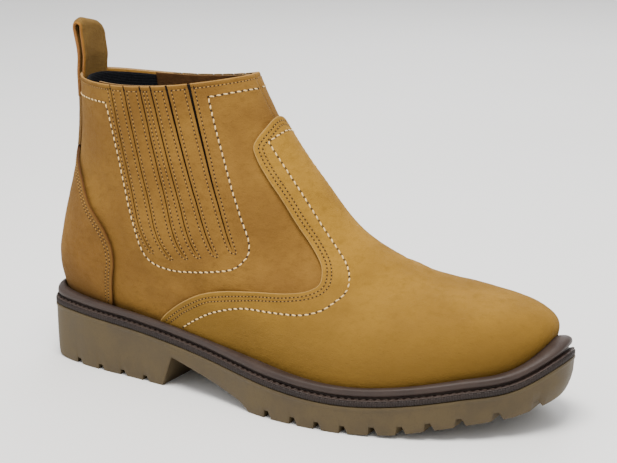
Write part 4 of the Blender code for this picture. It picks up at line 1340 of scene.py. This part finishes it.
def raised(points, outward, inset, height):
    """Rows inset from the outline and raised over the outsole's top, one section for each point."""
    flat = points[:, None] - outward[:, None] * inset[..., None]
    base = sole_top(points[:, 0])[:, None] + height
    return np.concatenate([flat, base[..., None]], axis=-1)


def loop_mesh(name, sections, material):
    """Closed ring of open sections, with its outer face outwards."""
    return welded(name, [plain(np.concatenate([sections, sections[:1]]))], (material,))


RIB_PITCH = 1.3
RIB_SAMPLES = 5
RIB_DEPTH = 0.5

# The band's rows: height over the outsole's top, how far the ribs show, and inset.
BAND_PROFILE = ((0.1, 0.0, 0.9), (0.4, 1.0, 0.55), (2.25, 1.0, 0.55), (2.8, 0.2, 0.75), (2.85, 0.0, 2.4))
BAND_DEPTH = 3


def build_band():
    """Midsole band with fine upright ribs."""
    points, outward, _ = perimeter(RIB_PITCH / RIB_SAMPLES)
    rib = np.abs(np.sin(np.arange(len(points)) * math.pi / RIB_SAMPLES)) ** 0.7
    heights, show, inset = np.array(BAND_PROFILE).T
    depth = inset[None] - RIB_DEPTH * rib[:, None] * show[None]
    sections = raised(points, outward, depth, heights[None])
    inner = sections[:, :1].copy()
    inner[..., :2] -= outward[:, None] * BAND_DEPTH
    sections = np.concatenate([inner, sections], axis=1)
    # The band's darker rubber is painted shade under the welt's roll.
    band = loop_mesh("midsole_band", sections, BAND_RUBBER_SHADED)
    finish_piece(band, "band_rubber", "midsole")


# The welt's section: inset from the sole's outline and height over the outsole's top.
WELT_PROFILE = (
    (2.2, 2.75), (0.85, 2.8), (0.55, 3.0), (0.6, 3.3), (1.0, 3.45), (1.8, 3.4), (3.0, 3.3), (3.6, 3.9),
    (3.3, 4.6), (2.1, 4.95), (1.5, 5.6), (1.4, 6.6), (1.8, 7.7), (2.8, 8.4), (4.2, 8.7),
)
WELT_PROFILE_POINTS = 34
LEDGE_HEIGHT = 3.45
CREST_HEIGHT = 8.7
WELT_TOE_TURN = (-7, 14)
WELT_TOE_LEAN = 0.4
STITCH_INSET = 1.35
LEDGE_WAVE = 0.14
LEDGE_EDGE_WAVE = 0.1
LEDGE_EDGE = 1.1
WELT_TAIL_POINTS = 9
WELT_TAIL_DROP = 1.6
WELT_INNER_WALL = 3
WELT_STITCH_PITCH = 3.7
WELT_STITCH_LENGTH = 0.8


def welt_section(points, outward, reach, at):
    """Storm welt: stitched ledge, narrow furrow and the roll that hugs the upper."""
    knots = np.linspace(0, len(WELT_PROFILE) - 1, WELT_PROFILE_POINTS)
    row_inset, row_height = smooth(np.arange(len(WELT_PROFILE)), WELT_PROFILE, knots).T
    share = (toe_share(points[:, 0]) * step_up(points[:, 1], *WELT_TOE_TURN))[:, None]
    roll_part = step_up(row_height, LEDGE_HEIGHT, CREST_HEIGHT - 1.6)[None]
    height = row_height[None] + WELT_TOE_RISE * share * roll_part
    inset = row_inset[None] + WELT_TOE_LEAN * share * roll_part
    crest_part = step_up(row_height, CREST_HEIGHT - 1.9, CREST_HEIGHT)[None]
    crest = (reach * 0.34 + 1.4)[:, None]
    inset = inset + crest_part * (crest - WELT_PROFILE[-1][0]) * 0.8
    wave = np.sin(at / WELT_STITCH_PITCH * 2 * math.pi)[:, None]
    on_ledge = row_height[None] < LEDGE_HEIGHT + 0.2
    ledge = np.exp(-((row_inset - STITCH_INSET) / 0.8) ** 2)[None] * on_ledge
    height = height + LEDGE_WAVE * wave * ledge
    inset = inset - LEDGE_EDGE_WAVE * wave * on_ledge * (row_inset[None] < LEDGE_EDGE)
    inner_end = reach[:, None] + 0.3 + 0.9 * share
    tail = np.linspace(0, 1, WELT_TAIL_POINTS)[None, 1:]
    tail_inset = inset[:, -1:] + (inner_end - inset[:, -1:]) * tail
    tail_height = height[:, -1:] - WELT_TAIL_DROP * tail ** 3
    inset = np.concatenate([inset, tail_inset, tail_inset[:, -1:] + 0.6], axis=1)
    height = np.concatenate([height, tail_height, tail_height[:, -1:] - WELT_INNER_WALL], axis=1)
    return raised(points, outward, inset, height)


def build_welt():
    points, outward, at = perimeter(0.75)
    reach = reach_to_upper(points, outward)
    welt = loop_mesh("storm_welt", welt_section(points, outward, reach, at), WELT_RUBBER)
    finish_piece(welt, "welt_rubber", "welt")
    stitches = Stitches()
    points, outward, at = perimeter(STITCH_LINE_SPACING)
    loop_length = at[-1] + STITCH_LINE_SPACING
    count = int(loop_length / WELT_STITCH_PITCH)
    step = loop_length / count
    spots = np.arange(count)[:, None] * step + STITCH_STATIONS[None] * step * WELT_STITCH_LENGTH
    out = read(spots, at, outward)
    flat = read(spots, at, points) - out * STITCH_INSET
    height = sole_top(flat[..., 0]) + LEDGE_HEIGHT + 0.05
    thread = np.concatenate([flat, height[..., None]], axis=-1)
    up = np.broadcast_to((0.0, 0.0, 1.0), thread.shape)
    side = np.concatenate([out, np.zeros_like(height)[..., None]], axis=-1)
    stitches.add(thread, up, side, 0.42, 0.5, 0.35)
    stitches.build("welt_stitches", WELT_THREAD, "welt_thread_cotton", "welt_thread")


NOTCH_STEEP = 0.5
NOTCH_SLOPE = 1.9
NOTCH_HALF = 1.5
NOTCH_FRONT = NOTCH_HALF - 0.6


def tread_profile():
    """Corner stations and depths of the tread's grooves, as (x, cut) pairs."""
    corners = [(0.0, 0.0)]
    for x in HEEL_GROOVES + FOREFOOT_GROOVES:
        depth = HEEL_GROOVE_DEPTH if x < HEEL_BREAST_FOOT else FOREFOOT_GROOVE_DEPTH
        corners += [(x - NOTCH_HALF - NOTCH_STEEP, 0.0), (x - NOTCH_HALF, depth),
                    (x + NOTCH_FRONT, depth), (x + NOTCH_FRONT + NOTCH_SLOPE, 0.0)]
    corners.append((SOLE_LENGTH, 0.0))
    return np.array(corners)


def outsole_stations():
    """Stations along the sole: even in the middle, close together at the round ends and corners."""
    turn = np.linspace(0, math.pi / 2, 46)
    heel_round = 40 * (1 - np.cos(turn))
    toe_round = SOLE_LENGTH - 60 * (1 - np.cos(turn))
    middle = np.arange(40, 240, 2.0)
    corners = tread_profile()[:, 0]
    edges = [x for x, _ in TREAD_PROFILE[4:-1]]
    stations = np.unique(np.round(np.concatenate([heel_round, toe_round, middle, corners, edges]), 3))
    keep = np.concatenate([[True], np.diff(stations) > 0.02])
    return stations[keep]


def outline_side(stations, outer):
    """Outline points and outward directions at given x on one side of the sole."""
    toe = int(np.argmax(OUTLINE[:, 0]))
    heel = int(np.argmin(OUTLINE[:, 0]))
    turned = np.roll(OUTLINE, -heel, axis=0)
    toe = (toe - heel) % len(OUTLINE)
    side = turned[:toe + 1] if outer else np.vstack([turned[toe:], turned[:1]])[::-1]
    x = np.interp(stations, (0, SOLE_LENGTH), (side[0, 0], side[-1, 0]))
    y = np.interp(x, side[:, 0], side[:, 1])
    points = np.stack([x, y], axis=1)
    normal = unit(to_the_right(np.gradient(side, axis=0)) * (1 if outer else -1))
    out = unit(read(x, side[:, 0], normal))
    out[0] = (-1, 0)
    out[-1] = (1, 0)
    return points, out


# The outsole's wall: inset, drop from its top within the lip, then share of the way down to the tread.
SIDE_PROFILE = (
    (0.6, 0.0, 0.0), (0.08, 0.25, 0.0), (0.0, 0.7, 0.0), (0.02, 1.4, 0.0), (0.3, 1.85, 0.0),
    (0.42, 2.4, 0.0), (0.42, 0.0, 0.35), (0.45, 0.0, 0.6), (0.55, 0.0, 0.8), (0.7, 0.0, 0.93),
    (0.95, 0.0, 1.0),
)
LIP_HEIGHT = 2.4


def sole_side(stations, outer):
    """One side wall of the outsole: rows from its top rim down to the tread's edge."""
    points, out = outline_side(stations, outer)
    corner_x, corner_cut = tread_profile().T
    cut = np.interp(points[:, 0], corner_x, corner_cut)
    top = sole_top(points[:, 0]) - 0.15
    foot = tread_bottom(points[:, 0]) + cut
    rows = []
    for inset, drop, share in SIDE_PROFILE:
        reach = inset + TOE_CHAMFER * toe_share(points[:, 0]) * share ** 2
        flat = points - out * reach[:, None]
        lip = top - LIP_HEIGHT
        height = lip + (foot - lip) * share if share else top - drop
        rows.append(np.column_stack([flat, height]))
    return np.array(rows)


def build_outsole():
    stations = outsole_stations()
    outer = sole_side(stations, True)
    inner = sole_side(stations, False)
    share = np.linspace(0, 1, 25)[:, None, None]
    under = outer[-1][None] * (1 - share) + inner[-1][None] * share
    from_middle = np.abs(under[..., 1] - MIDDLE_Y)
    for start, stop in CHANNEL_SPANS:
        inside = (under[..., 0] > start) & (under[..., 0] < stop) & (from_middle < CHANNEL_HALF_WIDTH)
        deep = tread_bottom(under[..., 0]) + HEEL_GROOVE_DEPTH
        under[..., 2] = np.where(inside, np.maximum(under[..., 2], deep), under[..., 2])
    over = outer[0][None] * (1 - share) + inner[0][None] * share
    patches = [plain(outer, True), plain(inner, False), plain(under, True), plain(over, False)]
    sole = welded("lug_outsole", patches, (SOLE_RUBBER,))
    sole.data.set_sharp_from_angle(angle=math.radians(38))
    finish_piece(sole, "sole_rubber", "outsole")


# ---------------------------------------------------------------- footbed

FOOTBED_HEIGHT = 15.6
FOOTBED_THICKNESS = 5.4
FOOTBED_INSET = 10.2
FOOTBED_SPINE_X = (38, 245)
FOOTBED_SPINE_Y = (0, -2)

# Rings from under the middle, round the rim, to the top's middle: share of the width and of the height.
FOOTBED_RINGS = (
    (0.02, 0), (0.5, 0), (1, 0), (1, 0), (1, 0.3), (0.998, 0.62), (0.985, 0.86), (0.955, 0.97), (0.9, 1.0),
    (0.8, 0.97), (0.66, 0.94), (0.5, 0.92), (0.34, 0.9), (0.18, 0.9), (0.02, 0.9),
)


def build_footbed():
    """Cushioned insole with rounded edges and a cupped heel."""
    run = np.roll(FOOT_RING, -3, axis=0) - np.roll(FOOT_RING, 3, axis=0)
    rim = (FOOT_RING - unit(to_the_right(run)) * FOOTBED_INSET)[::3]
    spine_x = np.clip(rim[:, 0], *FOOTBED_SPINE_X)
    spine = np.stack([spine_x, np.interp(spine_x, FOOTBED_SPINE_X, FOOTBED_SPINE_Y)], axis=1)
    rows = []
    for scale, up in FOOTBED_RINGS:
        flat = spine + (rim - spine) * scale
        height = sole_top(flat[:, 0]) + FOOTBED_HEIGHT + FOOTBED_THICKNESS * up
        rows.append(np.column_stack([flat, height]))
    grid = np.array(rows)
    grid = np.concatenate([grid, grid[:, :1]], axis=1)
    bed = welded("footbed_cushion", [plain(grid)], (FOOTBED_CLOTH,))
    finish_piece(bed, "footbed_foam", "footbed", body="footbed")


# ---------------------------------------------------------------- build everything

SIDES = (("lateral", False), ("medial", True))


def paint(material, *nodes):
    """Gives a CAD node that stays in view its finished material."""
    for node in nodes:
        thing = frame["nodes"][node]
        thing.data.materials.clear()
        thing.data.materials.append(material)


vamp_edge = build_vamp()
counter_edge = build_counter()
for side, mirrored in SIDES:
    build_quarter("quarter_leather_" + side, mirrored, "quarter_" + side)
build_backstay()
for side, mirrored in SIDES:
    build_elastic("gore_web_" + side, mirrored, "gore_elastic_" + side)
build_linings()
build_facing()
build_stitching(vamp_edge, counter_edge)
build_strap()
build_band()
build_welt()
build_outsole()
build_footbed()
paint(STEEL, "steel_toe_cap", "steel_shank")
paint(BOARD, "insole_board", "heel_stiffener")
paint(CORK, "forefoot_filler", "waist_filler")
paint(STRIP_RUBBER, "toe_cap_edge_strip")

# ---------------------------------------------------------------- camera, light and floor

LOOK_AT = Vector((0.0, 0.0052, 0.080))
AZIMUTH = math.radians(29.74)
ELEVATION = math.radians(14.84)
ROLL = math.radians(-0.77)
CAMERA_DISTANCE = 0.9
SENSOR_WIDTH = 36
FOCAL_LENGTH = 100.8
CAMERA_SHIFT = (0.0170, 0.0078)
FLOOR_HALF = 6.0
WORLD_STRENGTH = 0.95


def add_camera():
    back = Vector((math.sin(AZIMUTH) * math.cos(ELEVATION), -math.cos(AZIMUTH) * math.cos(ELEVATION),
                   math.sin(ELEVATION)))
    right = Vector((math.cos(AZIMUTH), math.sin(AZIMUTH), 0))
    up = back.cross(right)
    across = right * math.cos(ROLL) + up * math.sin(ROLL)
    upward = up * math.cos(ROLL) - right * math.sin(ROLL)
    data = bpy.data.cameras.new("camera")
    data.sensor_width = SENSOR_WIDTH
    data.lens = FOCAL_LENGTH
    data.shift_x, data.shift_y = CAMERA_SHIFT
    data.clip_start = 0.01
    camera = bpy.data.objects.new("camera", data)
    bpy.context.scene.collection.objects.link(camera)
    turn = Matrix((across, upward, back)).transposed().to_4x4()
    camera.matrix_world = Matrix.Translation(LOOK_AT + back * CAMERA_DISTANCE) @ turn
    bpy.context.scene.camera = camera


def add_light(name, spot, size, power, color):
    """Soft square light that faces the boot."""
    data = bpy.data.lights.new(name, "AREA")
    data.shape = "SQUARE"
    data.size = size
    data.energy = power
    data.color = color
    lamp = bpy.data.objects.new(name, data)
    bpy.context.scene.collection.objects.link(lamp)
    lamp.location = spot
    lamp.rotation_euler = (LOOK_AT - Vector(spot)).to_track_quat("-Z", "Y").to_euler()


def add_floor():
    finish = Finish("pale_floor", 0.6)
    clouds = finish.noise(300, 3, 0.5)
    finish.color(finish.mix(finish.span(clouds, 0.3, 0.7), (0.9, 0.9, 0.895), (0.92, 0.92, 0.92)))
    corners = [(x * FLOOR_HALF, y * FLOOR_HALF, 0) for x, y in ((-1, -1), (1, -1), (1, 1), (-1, 1))]
    mesh = bpy.data.meshes.new("floor")
    mesh.from_pydata(corners, [], [(0, 1, 2, 3)])
    mesh.materials.append(finish.material)
    floor = bpy.data.objects.new("floor", mesh)
    bpy.context.scene.collection.objects.link(floor)


def add_world():
    world_light = bpy.data.worlds.new("studio")
    world_light.use_nodes = True
    background = world_light.node_tree.nodes["Background"]
    background.inputs["Color"].default_value = (1.0, 1.0, 1.0, 1)
    background.inputs["Strength"].default_value = WORLD_STRENGTH
    bpy.context.scene.world = world_light


add_camera()
add_light("key", (0.1, -0.35, 1.45), 0.7, 34, (1.0, 0.97, 0.92))
add_light("fill", (-0.9, -1.1, 0.7), 1.2, 2, (0.97, 0.98, 1.0))
add_light("rim", (-0.3, 1.2, 0.9), 0.8, 7, (1.0, 1.0, 1.0))
add_floor()
add_world()
